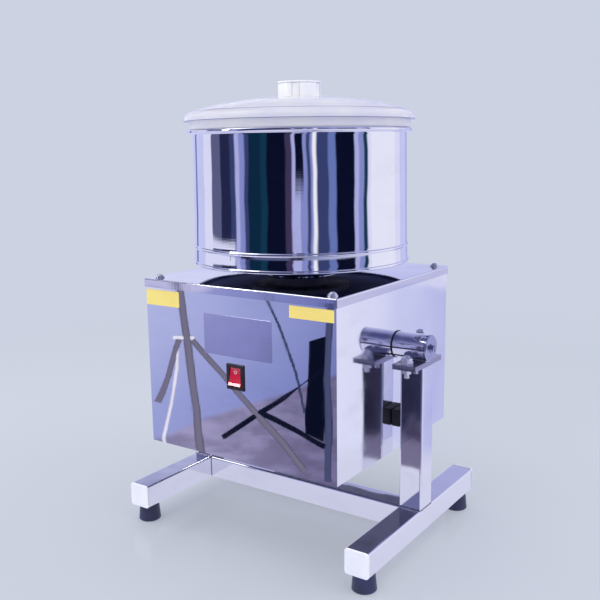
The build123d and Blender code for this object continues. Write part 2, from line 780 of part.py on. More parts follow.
def belt_face(offset):
    """Area inside a belt line that lies a given distance outside both pulleys."""
    large, small = pulley_radius + offset, motor_pulley_radius + offset
    heading = math.atan2(motor_y, motor_x)
    swing = math.acos((large - small) / belt_centres)
    points = []
    for sign in sides:
        a = heading + sign * swing
        pair = [(large * math.cos(a), large * math.sin(a)),
                (motor_x + small * math.cos(a), motor_y + small * math.sin(a))]
        points += pair if sign < 0 else pair[::-1]
    spans = make_face(Polyline(points, close=True))
    return spans + Circle(large) + Pos(motor_x, motor_y) * Circle(small)


def drive_belt():
    """Flat ribbed belt round both pulleys, drawn as it runs."""
    band = belt_face(belt_gap + belt_thickness) - belt_face(belt_gap)
    return Pos(0, 0, pulley_middle - belt_width / 2) * extrude(band, belt_width)


def motor_pulley():
    low = pulley_middle - belt_width / 2 - running_gap - motor_pulley_flange
    high = pulley_middle + belt_width / 2 + running_gap + motor_pulley_flange
    lip = motor_pulley_radius + motor_pulley_lip
    outline = [(motor_shaft + seat_fit, low), (lip, low), (lip, low + motor_pulley_flange),
               (motor_pulley_radius, low + motor_pulley_flange), (motor_pulley_radius, high - motor_pulley_flange),
               (lip, high - motor_pulley_flange), (lip, high), (motor_shaft + seat_fit, high)]
    return Pos(motor_x, motor_y, 0) * turned(outline)


# Motor under the deck
motor_shell_wall = 3.0
shield_height = 10.0
motor_floor_share = 0.1375   # end of the motor's shaft above the bottom tray, against the housing's height
winding_gap = 6.0            # windings from the end shields
stator_bore = 22.6
winding_height = 14.0
winding_inner = 25.0
winding_outer = 41.0
rotor_radius = 22.0
fan_radius = 40.0
fan_height = 11.0
fan_hub = 9.0
fan_blade = 2.0
fan_blades = 7
fan_gap = 2.0
fan_shaft_end = 3.0
shaft_above_pulley = 1.0
shell_top = deck_underside - shield_height
motor_floor_gap = motor_floor_share * housing_height
fan_top = housing_bottom + sheet + motor_floor_gap + fan_shaft_end + fan_height
shield_bottom = fan_top + fan_gap
shell_bottom = shield_bottom + shield_height
stator_low = shell_bottom + winding_gap + winding_height
stator_high = shell_top - winding_gap - winding_height


def motor_shell():
    return ring(motor_radius, motor_radius - motor_shell_wall, shell_bottom, shell_top, motor_x, motor_y)


def end_shields():
    """Upper and lower end shields with the shaft's plain bearings."""
    upper = ring(motor_radius, motor_shaft + shaft_fit, shell_top, deck_underside, motor_x, motor_y)
    lower = ring(motor_radius, motor_shaft + shaft_fit, shield_bottom, shell_bottom, motor_x, motor_y)
    for x, y in motor_bolt_places:
        upper -= disc(motor_bolt_radius + seat_fit, deck_top - motor_bolt_length, deck_underside + overrun, x, y)
    return group([upper, lower])


def motor_bolt(x, y):
    return Pos(x, y, deck_top) * screw(motor_bolt_radius, motor_bolt_length, motor_bolt_flats, motor_bolt_head)


def motor_stator():
    outer = motor_radius - motor_shell_wall - seat_fit
    return ring(outer, stator_bore, stator_low, stator_high, motor_x, motor_y)


def motor_windings():
    upper = ring(winding_outer, winding_inner, stator_high, stator_high + winding_height, motor_x, motor_y)
    lower = ring(winding_outer, winding_inner, stator_low - winding_height, stator_low, motor_x, motor_y)
    return group([upper, lower])


def motor_rotor():
    """Rotor core on its shaft, which carries the fan below and the pulley above."""
    shaft_top = pulley_middle + belt_width / 2 + running_gap + motor_pulley_flange + shaft_above_pulley
    shaft = disc(motor_shaft, fan_top - fan_height - fan_shaft_end, shaft_top, motor_x, motor_y)
    return shaft + disc(rotor_radius, stator_low, stator_high, motor_x, motor_y)


def motor_fan():
    low = fan_top - fan_height
    body = ring(fan_hub, motor_shaft + seat_fit, low, fan_top)
    blade = block((fan_hub - fan_blade, fan_radius), (-fan_blade / 2, fan_blade / 2), (low, fan_top))
    for k in range(fan_blades):
        body += Rot(0, 0, 360 * k / fan_blades) * blade
    return Pos(motor_x, motor_y, 0) * body


# Run capacitor under the deck
capacitor_radius = 19.0
capacitor_length = 62.0
capacitor_side_gap = 30.25   # capacitor's end from the deck's flange
capacitor_back_gap = 36.0    # capacitor from the deck's end
clip_thickness = 1.5
clip_width = 16.0
clip_ear = 12.0
capacitor_x = carrier_inner - deck_plate - capacitor_side_gap - capacitor_length / 2
capacitor_y = deck_half_depth - capacitor_back_gap - capacitor_radius
capacitor_z = deck_underside - capacitor_radius - clip_thickness


def capacitor():
    return along_x(disc(capacitor_radius, 0, capacitor_length), capacitor_x - capacitor_length / 2,
                   capacitor_y, capacitor_z)


def capacitor_clip():
    """Band round the capacitor with two ears on the deck."""
    outer = capacitor_radius + seat_fit + clip_thickness
    start = capacitor_x - clip_width / 2
    band = along_x(disc(outer, 0, clip_width), start, capacitor_y, capacitor_z)
    ears = block((start, start + clip_width), (capacitor_y - outer - clip_ear, capacitor_y + outer + clip_ear),
                 (deck_underside - clip_thickness, deck_underside))
    bore = along_x(disc(capacitor_radius + seat_fit, -overrun, clip_width + overrun), start, capacitor_y, capacitor_z)
    above = block((start - overrun, start + clip_width + overrun), (capacitor_y - outer, capacitor_y + outer),
                  (deck_underside, deck_underside + outer))
    return band + ears - bore - above


# Drum shell
drum_flare = 1.8             # how much wider the wall is at the band than at the rim
band_height = 20.0
band_proud = 0.5
bead_height = 3.0
bead_proud = 0.7
hem_height = 3.4
hem_width = 5.0
hem_proud = 2.1              # hem outside the wall
hem_edge = 1.0
rim_roll = 5.0               # height of the rolled rim
sleeve_outer = 15.5
sleeve_wall = 1.5
sleeve_drop = 6.0            # sleeve's end below the spindle's step
floor_hole = sleeve_outer - sleeve_wall
wall_foot_radius = drum_radius + drum_flare
band_radius = wall_foot_radius + band_proud
hem_radius = wall_foot_radius + hem_proud
band_top = drum_bottom + band_height
sleeve_top = spindle_step - sleeve_drop


def drum_shell():
    """Spun drum with a rolled rim, a bead, a bottom band and a hem, turned as one sheet."""
    rim_mid = (drum_radius + rim_radius) / 2
    hem_inner = hem_radius - hem_width
    outline = [(floor_hole, drum_floor), (hem_inner, drum_floor), (hem_inner, drum_bottom),
               (hem_radius - hem_edge, drum_bottom), (hem_radius, drum_bottom + hem_edge),
               (hem_radius, drum_bottom + hem_height - hem_edge), (band_radius, drum_bottom + hem_height),
               (band_radius, band_top),
               (wall_foot_radius + band_proud + bead_proud, band_top + bead_height / 2),
               (wall_foot_radius, band_top + bead_height), (drum_radius, drum_rim - rim_roll),
               (rim_mid, drum_rim - rim_roll), (rim_radius, drum_rim - rim_roll / 2), (rim_mid, drum_rim),
               (drum_radius - drum_sheet, drum_rim), (wall_foot_radius - drum_sheet, band_top + bead_height),
               (wall_foot_radius - drum_sheet, floor_top), (floor_hole, floor_top)]
    body = turned(outline)
    for x, y in hub_bolt_places:
        body -= disc(hub_bolt_radius + bolt_gap, drum_floor - overrun, floor_top + overrun, x, y)
    return body


stone_side_gap = 1.0
bolt_pocket_gap = 1.0


def base_stone():
    """Granite base stone that fills the drum's bottom, pocketed over the hub bolts' heads."""
    outer = wall_foot_radius - drum_sheet - stone_side_gap
    body = ring(outer, sleeve_outer + stone_side_gap, floor_top, stone_top)
    for x, y in hub_bolt_places:
        body -= disc(hub_bolt_flats / 2 + 2 * bolt_pocket_gap, floor_top - overrun,
                     floor_top + hub_bolt_head + bolt_pocket_gap, x, y)
    return body


def centre_sleeve():
    """Tube that keeps the batter away from the fixed spindle."""
    return ring(sleeve_outer, floor_hole, floor_top, sleeve_top)


def hub_bolt(x, y):
    length = drum_sheet + hub_flange_height
    return Pos(x, y, floor_top) * screw(hub_bolt_radius, length, hub_bolt_flats, hub_bolt_head)


# Roller stones, cones that roll on the base stone about an apex on the drum's axis
cone_angle = 30.0            # half angle of the stones, in degrees
cone_start = 46.0            # apex to the small end, along the stone's rolling line
cone_wall_gap = 21.0         # large end of the rolling line from the drum's wall
cone_chamfer = 4.0
axle_radius = 6.0
bush_wall = 3.0
yoke_outer = 19.5
yoke_bore = 16.5
yoke_cap = 6.0
yoke_foot_gap = 2.0
axle_collar = 3.0
axle_collar_radius = 9.0
axle_washer = 2.0
axle_washer_radius = 11.0
axle_nut_flats = 17.0
axle_nut_height = 8.0
cone_end = drum_radius - cone_wall_gap        # apex to the large end
half_angle = math.radians(cone_angle)
apex_height = stone_top + running_gap
cone_low = cone_start * math.cos(half_angle)
cone_high = cone_end * math.cos(half_angle)


def on_axle(shape):
    """Sets a shape that stands on +Z at the apex along the right stone's axle."""
    return Pos(0, 0, apex_height) * Rot(0, 90 - cone_angle, 0) * shape


def roller_stone():
    """Truncated granite cone with a bore for its bush."""
    small, large = cone_low * math.tan(half_angle), cone_high * math.tan(half_angle)
    bore = axle_radius + bush_wall + seat_fit
    shy = cone_chamfer * math.tan(half_angle)
    outline = [(bore, cone_low), (small - cone_chamfer / 2, cone_low), (small + shy / 2, cone_low + cone_chamfer / 2),
               (large - shy, cone_high - cone_chamfer), (large - cone_chamfer, cone_high), (bore, cone_high)]
    return on_axle(turned(outline))


def roller_bush():
    """Plain bush in the stone's bore, turning with the stone on the axle."""
    return on_axle(ring(axle_radius + bush_wall, axle_radius + shaft_fit, cone_low, cone_high))


def stone_yoke():
    """Bell over the spindle with an axle on each side and a cap that fits the spindle's flats."""
    low, high = stone_top + yoke_foot_gap, spindle_step + running_gap + yoke_cap
    body = disc(yoke_outer, low, high)
    collar_top = cone_low - running_gap
    rod_end = cone_high + running_gap + axle_washer + axle_nut_height
    rod = disc(axle_radius, 0, rod_end) + disc(axle_collar_radius, collar_top - axle_collar, collar_top)
    body += on_axle(rod)
    body += mirrored(on_axle(rod))
    body += scraper_arm()
    body -= disc(yoke_bore, stone_top - 2 * axle_radius, spindle_step + running_gap)
    key = disc(spindle_stud + seat_fit, spindle_step, high + overrun)
    flat = spindle_flats / 2 + seat_fit
    key &= block((-yoke_bore, yoke_bore), (-flat, flat), (spindle_step, high + overrun))
    return body - key


def axle_nut():
    """Washer and nut on the end of one axle."""
    start = cone_high + running_gap
    bore = axle_radius + seat_fit
    washer = disc(axle_washer_radius, start, start + axle_washer)
    nut = Pos(0, 0, start + axle_washer) * hexagon(axle_nut_flats, axle_nut_height)
    return on_axle(washer + nut - disc(bore, start - overrun, start + axle_washer + axle_nut_height + overrun))


# Spring and knob that press the yoke down
tension_knob_radius = 14.0
knob_edge = 2.0
spring_wire = 1.4
spring_radius = 11.5
spring_turns = 6
spring_points = 360          # points along the wire on which its gap to itself is measured


def tension_knob():
    """Cap knob screwed on the spindle's stud."""
    body = disc(tension_knob_radius, knob_bottom, knob_top)
    body = chamfer(body.edges().group_by(Axis.Z)[-1], knob_edge)
    return body - disc(spindle_stud + seat_fit, knob_bottom - overrun, spindle_top + running_gap)


def pressure_spring():
    """Coil spring between the yoke and the knob, as one wire of quarter-turn arcs."""
    low = spindle_step + running_gap + yoke_cap + spring_wire
    high = knob_bottom - spring_wire
    steps = 4 * spring_turns

    def place(step):
        a = math.pi / 2 * step
        return (spring_radius * math.cos(a), spring_radius * math.sin(a), low + (high - low) * step / steps)

    arcs = [ThreePointArc(place(k), place(k + 0.5), place(k + 1)) for k in range(steps)]
    path = Wire(arcs)
    measured = [path @ (k / spring_points) for k in range(spring_points + 1)]
    apart = spring_points // (2 * spring_turns)
    nearest = min((a - b).length for k, a in enumerate(measured) for b in measured[k + apart:])
    print("least gap of the pressure spring to itself:", round(nearest - 2 * spring_wire, 3), "mm")
    section = Plane(origin=path @ 0, z_dir=path % 0) * Circle(spring_wire)
    return sweep(section, path=path)


# Scraper that wipes the drum's wall
scraper_bar = 3.0
scraper_bar_height = 22.0
scraper_bar_lift = 27.8      # bar above the base stone
blade_thickness = 3.0
blade_width = 24.0
blade_wall_gap = 1.0
blade_foot_gap = 3.0
blade_top_drop = 22.7        # blade's top below the rim
blade_corner = 6.0
scraper_screw_radius = 2.0
scraper_screw_head = 3.5
scraper_screw_height = 2.0
scraper_screw_shares = (0.25, 0.75)           # screws' places up the bar
blade_outer = drum_radius - drum_sheet - blade_wall_gap
blade_inner = blade_outer - blade_width
blade_top = drum_rim - blade_top_drop
scraper_bar_low = stone_top + scraper_bar_lift


def scraper_arm():
    """Flat bar welded to the yoke that carries the blade."""
    bar = block((-scraper_bar, 0), (0, blade_outer - blade_width / 4),
                (scraper_bar_low, scraper_bar_low + scraper_bar_height))
    return scraper_holes(bar)


def scraper_holes(body):
    for share in scraper_screw_shares:
        z = scraper_bar_low + share * scraper_bar_height
        y = blade_inner + blade_width / 3
        body -= along_x(disc(scraper_screw_radius + seat_fit, -overrun, scraper_bar + blade_thickness + overrun),
                        -scraper_bar, y, z)
    return body


def scraper_blade():
    """Nylon blade beside the drum's wall, bolted to the bar."""
    blade = block((0, blade_thickness), (blade_inner, blade_outer), (stone_top + blade_foot_gap, blade_top))
    inner_edges = blade.edges().filter_by(Axis.X).group_by(Axis.Y)[0]
    return scraper_holes(fillet(inner_edges, blade_corner))


def scraper_screw(share):
    z = scraper_bar_low + share * scraper_bar_height
    y = blade_inner + blade_width / 3
    head = disc(scraper_screw_head, -scraper_screw_height, 0)
    body = head + disc(scraper_screw_radius, 0, scraper_bar + blade_thickness)
    return along_x(body, -scraper_bar, y, z)


# Lid
lid_overhang = 3.8           # lid's lip outside the rim
lid_lip_lift = 9.8           # lower edge of the lip above the rim
lid_shoulder_lift = 19.8     # dome's shoulder above the rim
lid_shoulder_inset = 5.2     # shoulder inside the lip
lid_crown_share = 0.5866     # radius of the crown against the lip's
lid_crown_drop = 5.8         # crown below the dome's top
lid_skirt_inset = 5.6        # skirt on the rim, inside the lip
lid_ring_gap = 1.3           # locating ring inside the drum's wall
lid_ring_drop = 7.7          # locating ring's edge below the rim
lid_screw_hole = 2.5
lid_radius = rim_radius + lid_overhang
lid_lip_low = drum_rim + lid_lip_lift
lid_shoulder = drum_rim + lid_shoulder_lift
lid_shoulder_radius = lid_radius - lid_shoulder_inset
lid_crown_radius = lid_radius * lid_crown_share
lid_crown = lid_top - lid_crown_drop
lid_skirt_radius = lid_radius - lid_skirt_inset
lid_ring_radius = drum_radius - drum_sheet - lid_ring_gap
lid_ring_low = drum_rim - lid_ring_drop


def lid_outline():
    """Half outline of the dome, its lip, the skirt on the rim and the locating ring."""
    w = lid_wall
    skirt_low = drum_rim + running_gap
    under = lid_shoulder - w
    return [(0, lid_top), (knob_flange + knob_seat, lid_top), (lid_crown_radius, lid_crown),
            (lid_shoulder_radius, lid_shoulder),
            (lid_radius, (lid_shoulder + lid_lip_low) / 2), (lid_radius, lid_lip_low),
            (lid_skirt_radius, lid_lip_low), (lid_skirt_radius, skirt_low), (lid_skirt_radius - w, skirt_low),
            (lid_skirt_radius - w, under), (lid_ring_radius, under), (lid_ring_radius, lid_ring_low),
            (lid_ring_radius - w, lid_ring_low), (lid_ring_radius - w, under),
            (lid_crown_radius, lid_crown - w), (lid_washer_radius + knob_seat, lid_top - w), (0, lid_top - w)]


def lid_shell():
    """Clear domed lid that stands on the drum's rim."""
    return turned(lid_outline()) - disc(lid_screw_hole + bolt_gap, lid_top - 2 * lid_wall, lid_top + overrun)


knob_radius = 26.6
knob_height = 18.5
knob_wall = 2.5
knob_flange = 27.2
knob_flange_height = 2.0
knob_lobes = 5
flute_radius = 10.0
flute_depth = 1.8
flute_heading = 7.1          # degrees from +X to the first flute
knob_boss_radius = 6.0
knob_seat = 1.0              # how far the dome's flat runs past the knob and the washer


def lid_knob():
    """Clear lobed knob, hollow from below, with a boss for its screw."""
    low = lid_top
    high = low + knob_height
    body = disc(knob_radius, low, high - knob_flange_height)
    for k in range(knob_lobes):
        a = math.radians(flute_heading + 360 * k / knob_lobes)
        away = knob_radius + flute_radius - flute_depth
        body -= disc(flute_radius, low - overrun, high, away * math.cos(a), away * math.sin(a))
    body += disc(knob_flange, high - knob_flange_height, high)
    inside = ring(knob_radius - knob_wall - flute_depth, knob_boss_radius, low - overrun, high - knob_wall)
    return body - inside - disc(lid_screw_hole + seat_fit, low - overrun, high - 2 * knob_wall)


lid_washer_radius = 9.0
lid_washer = 1.2
lid_head_radius = 4.6
lid_head_height = 3.2
lid_screw_reach = 10.0


def lid_screw():
    """Screw and washer under the dome that hold the knob."""
    seat = lid_top - lid_wall
    outline = [(0, seat - lid_washer - lid_head_height), (lid_head_radius / 2, seat - lid_washer - lid_head_height),
               (lid_head_radius, seat - lid_washer - lid_head_height / 2), (lid_head_radius, seat - lid_washer),
               (lid_washer_radius, seat - lid_washer), (lid_washer_radius, seat), (lid_screw_hole, seat),
               (lid_screw_hole, seat + lid_screw_reach), (0, seat + lid_screw_reach)]
    return turned(outline)


# Stand
save(mirrored(skid()), "left_skid")
save(skid(), "right_skid")
save(cross_tube(), "cross_tube")
save(mirrored(post()), "left_post")
save(post(), "right_post")
save(mirrored(pivot_block()), "left_pivot_block")
save(pivot_block(), "right_pivot_block")
right_caps = [skid_cap(end) for end in sides]
save(group(right_caps + [mirrored(cap) for cap in right_caps]), "skid_end_caps")
save(group([foot(i * foot_x, j * foot_y) for i, j in corners]), "rubber_feet")
save(group([foot_bolt(i * foot_x, j * foot_y) for i, j in corners]), "foot_bolts")
right_bolts = [plate_bolt(j) for j in sides] + [plate_nut(j) for j in sides]
save(group(right_bolts + [mirrored(bolt) for bolt in right_bolts]), "pivot_plate_fasteners")
save(group([rub_pad(), mirrored(rub_pad())]), "rubber_rub_pads")

# Tilting head
save(front_panel(), "front_panel")
save(back_panel(), "back_panel")
save(mirrored(side_panel()), "left_side_panel")
save(side_panel(), "right_side_panel")
save(top_cover(), "top_cover")
save(group([corner_bracket(i, j) for i, j in corners]), "corner_brackets")
save(group([cover_bolt(i, j) for i, j in corners]), "cover_bolts")
save(bottom_tray(), "bottom_tray")
save(grommet(), "cord_grommet")
save(mirrored(trunnion()), "left_trunnion")
save(trunnion(), "right_trunnion")
save(group([side_bolt(), mirrored(side_bolt())]), "side_panel_bolts")
save(group([thrust_ring(), mirrored(thrust_ring())]), "thrust_washers")
right_end = [end_disc(), end_screw()]
save(group(right_end + [mirrored(piece) for piece in right_end]), "trunnion_end_caps")
save(drive_deck(), "drive_deck")
deck_screws = [deck_bolt(i, y) for i in sides for y in deck_bolt_places]
deck_screws += [spindle_bolt(x, y) for x, y in spindle_bolt_places]
deck_screws += [motor_bolt(x, y) for x, y in motor_bolt_places]
save(group(deck_screws), "deck_fasteners")
save(centre_spindle(), "centre_spindle")
save(inner_races(), "bearing_inner_races")
save(tension_knob(), "tension_knob")
save(motor_shell(), "motor_shell")
save(end_shields(), "motor_end_shields")
save(motor_stator(), "motor_stator")
save(motor_windings(), "motor_windings")
save(group([capacitor(), capacitor_clip()]), "run_capacitor")
save(drive_belt(), "drive_belt")
save(switch_body(), "switch_body")

# Rocker, motor rotor and drum
save(rocker(), "switch_rocker")
save(motor_rotor(), "motor_rotor")
save(motor_fan(), "motor_fan")
save(motor_pulley(), "motor_pulley")
save(drum_shell() + centre_sleeve(), "drum_shell")
save(base_stone(), "base_stone")
save(drum_hub(), "drum_hub")
save(group([hub_bolt(x, y) for x, y in hub_bolt_places]), "hub_bolts")
save(outer_races(), "bearing_outer_races")
save(drum_pulley(), "drum_pulley")

# Stone yoke, roller stones and lid
save(stone_yoke(), "stone_yoke")
save(group([axle_nut(), mirrored(axle_nut())] + [scraper_screw(share) for share in scraper_screw_shares]),
     "yoke_fasteners")
save(pressure_spring(), "pressure_spring")
save(scraper_blade(), "scraper_blade")
save(mirrored(roller_stone()), "left_roller_stone")
save(roller_stone(), "right_roller_stone")
save(mirrored(roller_bush()), "left_roller_bush")
save(roller_bush(), "right_roller_bush")
save(lid_shell(), "lid_shell")
save(lid_knob(), "lid_knob")
save(lid_screw(), "lid_screw")
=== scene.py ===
import math

import bmesh
import bpy
from mathutils import Matrix, Vector
from mathutils.bvhtree import BVHTree


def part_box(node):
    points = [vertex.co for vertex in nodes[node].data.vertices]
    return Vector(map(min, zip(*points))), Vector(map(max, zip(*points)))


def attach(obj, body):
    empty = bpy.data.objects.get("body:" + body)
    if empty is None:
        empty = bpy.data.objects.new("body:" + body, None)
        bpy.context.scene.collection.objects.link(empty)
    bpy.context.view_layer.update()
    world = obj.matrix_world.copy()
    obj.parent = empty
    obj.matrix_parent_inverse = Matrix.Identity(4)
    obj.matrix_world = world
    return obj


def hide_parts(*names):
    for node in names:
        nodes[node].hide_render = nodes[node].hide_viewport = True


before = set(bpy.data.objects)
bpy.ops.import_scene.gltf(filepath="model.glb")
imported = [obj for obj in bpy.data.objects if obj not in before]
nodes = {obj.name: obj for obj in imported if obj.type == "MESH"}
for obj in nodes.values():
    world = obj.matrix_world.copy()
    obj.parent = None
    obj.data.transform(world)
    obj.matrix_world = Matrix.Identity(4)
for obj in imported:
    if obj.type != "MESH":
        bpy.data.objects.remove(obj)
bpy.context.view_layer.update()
MM = 0.001


def tint(code, alpha=1.0):
    """Scene colour of a hex colour code, written as it should look."""
    parts = [int(code[k:k + 2], 16) / 255 for k in (0, 2, 4)]
    linear = [c / 12.92 if c <= 0.04045 else ((c + 0.055) / 1.055) ** 2.4 for c in parts]
    return (*linear, alpha)


BACKDROP = "ccd2e1"
STEEL, STEEL_DULL = "eeeef6", "c6c7d2"


class Tree:
    """A node tree with short calls for adding and joining nodes."""

    def __init__(self, tree):
        """Works on a node tree that is there already."""
        self.tree = tree

    def add(self, kind, inputs=None, **settings):
        """A new node with its settings and with values or links on its inputs."""
        node = self.tree.nodes.new(kind)
        for key, value in settings.items():
            setattr(node, key, value)
        for key, value in (inputs or {}).items():
            self.feed(node.inputs[key], value)
        return node

    def feed(self, socket, value):
        """Links an output to a socket, or sets a plain value on it."""
        if isinstance(value, bpy.types.NodeSocket):
            self.tree.links.new(value, socket)
        else:
            socket.default_value = value

    def math(self, operation, a, b=0.0, clamp=False):
        """One step of arithmetic."""
        node = self.add("ShaderNodeMath", {0: a, 1: b}, operation=operation, use_clamp=clamp)
        return node.outputs[0]

    def times(self, a, b):
        """A product."""
        return self.math("MULTIPLY", a, b)

    def part(self, vector, axis):
        """One coordinate of a vector."""
        return self.add("ShaderNodeSeparateXYZ", {0: vector}).outputs[axis]

    def spread(self, value, low, high, to_low=0.0, to_high=1.0):
        """A value carried smoothly from one range to another."""
        node = self.add("ShaderNodeMapRange", {0: value, 1: low, 2: high, 3: to_low, 4: to_high},
                        interpolation_type="SMOOTHSTEP")
        return node.outputs[0]

    def between(self, value, low, high, soft):
        """One inside a range, nothing outside it, with soft ends."""
        return self.times(self.spread(value, low - soft, low + soft),
                          self.spread(value, high - soft, high + soft, 1.0, 0.0))

    def blend(self, factor, a, b, mode="MIX"):
        """Two colours mixed by a factor."""
        node = self.add("ShaderNodeMix", data_type="RGBA", blend_type=mode)
        self.feed(node.inputs[0], factor)
        self.feed(node.inputs[6], a)
        self.feed(node.inputs[7], b)
        return node.outputs[2]

    def noise(self, vector, scale, detail=3.0, rough=0.5):
        """Cloudy noise from 0 to 1."""
        node = self.add("ShaderNodeTexNoise", {"Vector": vector, "Scale": scale, "Detail": detail,
                                               "Roughness": rough})
        return node.outputs[0]

    def stretch(self, vector, scale):
        """Coordinates scaled along each axis."""
        return self.add("ShaderNodeMapping", {"Vector": vector, "Scale": scale}).outputs[0]

    def grey(self, value):
        """A grey of the given value."""
        return self.add("ShaderNodeCombineColor", {0: value, 1: value, 2: value}).outputs[0]

    def ramp(self, factor, stops):
        """A run of colours given as (place from 0 to 1, colour code)."""
        node = self.add("ShaderNodeValToRGB", {0: factor})
        elements = node.color_ramp.elements
        while len(elements) < len(stops):
            elements.new(0.5)
        for element, (place, code) in zip(elements, stops):
            element.position = place
            element.color = tint(code)
        return node.outputs[0]


def shared(name, inputs, outputs):
    """An empty shader node group with named sockets, and its two end nodes."""
    tree = bpy.data.node_groups.new(name, "ShaderNodeTree")
    for label, kind, value in inputs:
        socket = tree.interface.new_socket(label, in_out="INPUT", socket_type=kind)
        if value is not None:
            socket.default_value = value
    for label, kind in outputs:
        tree.interface.new_socket(label, in_out="OUTPUT", socket_type=kind)
    inside = Tree(tree)
    return tree, inside, inside.add("NodeGroupInput").outputs, inside.add("NodeGroupOutput").inputs


NUMBER, ARROW = "NodeSocketFloat", "NodeSocketVector"


def make_polish():
    """Mirror polish on sheet: slow waves in the surface, a fine polishing grain and faint wipe marks."""
    tree, t, given, out = shared(
        "sheet polish",
        [("Place", ARROW, None), ("Wave Size", NUMBER, 9.0), ("Wave", NUMBER, 0.1),
         ("Grain", ARROW, (4, 4, 400)), ("Grain Depth", NUMBER, 0.02), ("Smooth", NUMBER, 0.05),
         ("Smears", NUMBER, 0.05)],
        [("Roughness", NUMBER), ("Tone", NUMBER), ("Normal", ARROW)])
    place = given["Place"]
    waves = t.noise(place, given["Wave Size"], 1.5, 0.4)
    scaled = t.add("ShaderNodeVectorMath", {0: place, 1: given["Grain"]}, operation="MULTIPLY").outputs[0]
    lines = t.noise(scaled, 1.0, 2.0)
    smear = t.spread(t.noise(t.stretch(place, (6, 6, 14)), 2.2, 5.0, 0.62), 0.45, 0.78)
    first = t.add("ShaderNodeBump", {"Strength": given["Wave"], "Distance": 0.02, "Height": waves})
    second = t.add("ShaderNodeBump", {"Strength": given["Grain Depth"], "Distance": 0.0005,
                                      "Height": lines, "Normal": first.outputs[0]})
    rough = t.math("ADD", given["Smooth"], t.times(smear, given["Smears"]))
    rough = t.math("ADD", rough, t.times(lines, t.times(given["Smears"], 0.5)))
    t.feed(out["Roughness"], rough)
    t.feed(out["Tone"], t.math("ADD", t.times(smear, -0.06), 1.0))
    t.feed(out["Normal"], second.outputs[0])
    return tree


def make_mould():
    """Moulded or cast skin: fine grain, soft flow marks and light rubbing."""
    tree, t, given, out = shared(
        "moulded skin",
        [("Place", ARROW, None), ("Grain Size", NUMBER, 900.0), ("Depth", NUMBER, 0.1),
         ("Rubbed", NUMBER, 0.4)],
        [("Mask", NUMBER), ("Roughness", NUMBER), ("Normal", ARROW)])
    place = given["Place"]
    grain = t.noise(place, given["Grain Size"], 3.0, 0.6)
    flow = t.noise(place, 28.0, 4.0, 0.55)
    bump = t.add("ShaderNodeBump", {"Strength": given["Depth"], "Distance": 0.0004, "Height": grain})
    t.feed(out["Mask"], t.spread(flow, 0.35, 0.7))
    t.feed(out["Roughness"], t.times(t.spread(flow, 0.3, 0.75), given["Rubbed"]))
    t.feed(out["Normal"], bump.outputs[0])
    return tree


def make_dust():
    """Dust and dried spots that gather on faces that look up."""
    tree, t, given, out = shared(
        "settled dust", [("Place", ARROW, None), ("Amount", NUMBER, 0.3)], [("Mask", NUMBER)])
    up = t.part(t.add("ShaderNodeNewGeometry").outputs["Normal"], 2)
    patch = t.spread(t.noise(given["Place"], 34.0, 5.0, 0.6), 0.42, 0.72)
    facing = t.spread(up, 0.2, 0.95)
    t.feed(out["Mask"], t.times(t.times(patch, facing), given["Amount"]))
    return tree


POLISH, MOULD, DUST = make_polish(), make_mould(), make_dust()


def blank(name):
    """A material with an empty node tree."""
    material = bpy.data.materials.new(name)
    material.use_nodes = True
    material.node_tree.nodes.clear()
    return material, Tree(material.node_tree)


def surface(name):
    """A material with its tree, its Principled shader and the object coordinates."""
    material, t = blank(name)
    shader = t.add("ShaderNodeBsdfPrincipled")
    t.add("ShaderNodeOutputMaterial", {"Surface": shader.outputs[0]})
    place = t.add("ShaderNodeTexCoord").outputs["Object"]
    return material, t, shader, place


def use(t, group, **inputs):
    """Places a shared group in a material; an underscore in an input's name stands for a space."""
    node = t.add("ShaderNodeGroup", node_tree=group)
    for key, value in inputs.items():
        t.feed(node.inputs[key.replace("_", " ")], value)
    return node.outputs


def steel(name, colour=STEEL, wave=0.10, wave_size=9.0, grain=(4, 4, 400), depth=0.02, smooth=0.04, smears=0.05,
          dust=0.0, stains_and_shade=()):
    """Stainless steel in one of the machine's finishes; each stain or band of painted shade is a range of one
    axis and its colour.
    """
    material, t, shader, place = surface(name)
    skin = use(t, POLISH, Place=place, Wave_Size=wave_size, Wave=wave, Grain=grain, Grain_Depth=depth,
               Smooth=smooth, Smears=smears)
    tone = t.blend(1.0, tint(colour), t.grey(skin["Tone"]), "MULTIPLY")
    rough = skin["Roughness"]
    for axis, low, high, soft, code, dull in stains_and_shade:
        band = t.between(t.part(place, axis), low, high, soft)
        tone = t.blend(band, tone, tint(code), "MULTIPLY")
        rough = t.math("ADD", rough, t.times(band, dull))
    if dust:
        mask = use(t, DUST, Place=place, Amount=dust)["Mask"]
        tone = t.blend(mask, tone, tint("b9b7bd"))
    t.feed(shader.inputs["Base Color"], tone)
    shader.inputs["Metallic"].default_value = 1.0
    t.feed(shader.inputs["Roughness"], rough)
    t.feed(shader.inputs["Normal"], skin["Normal"])
    return material


def moulded(name, colour, worn, rough=0.4, rubbed=0.2, grain=900.0, depth=0.12, coat=0.0, gleam=0.5):
    """Plastic, rubber, film or paint."""
    material, t, shader, place = surface(name)
    skin = use(t, MOULD, Place=place, Grain_Size=grain, Depth=depth, Rubbed=rubbed)
    t.feed(shader.inputs["Base Color"], t.blend(skin["Mask"], tint(colour), tint(worn)))
    t.feed(shader.inputs["Roughness"], t.math("ADD", rough, skin["Roughness"]))
    t.feed(shader.inputs["Normal"], skin["Normal"])
    shader.inputs["Coat Weight"].default_value = coat
    shader.inputs["Specular IOR Level"].default_value = gleam
    return material


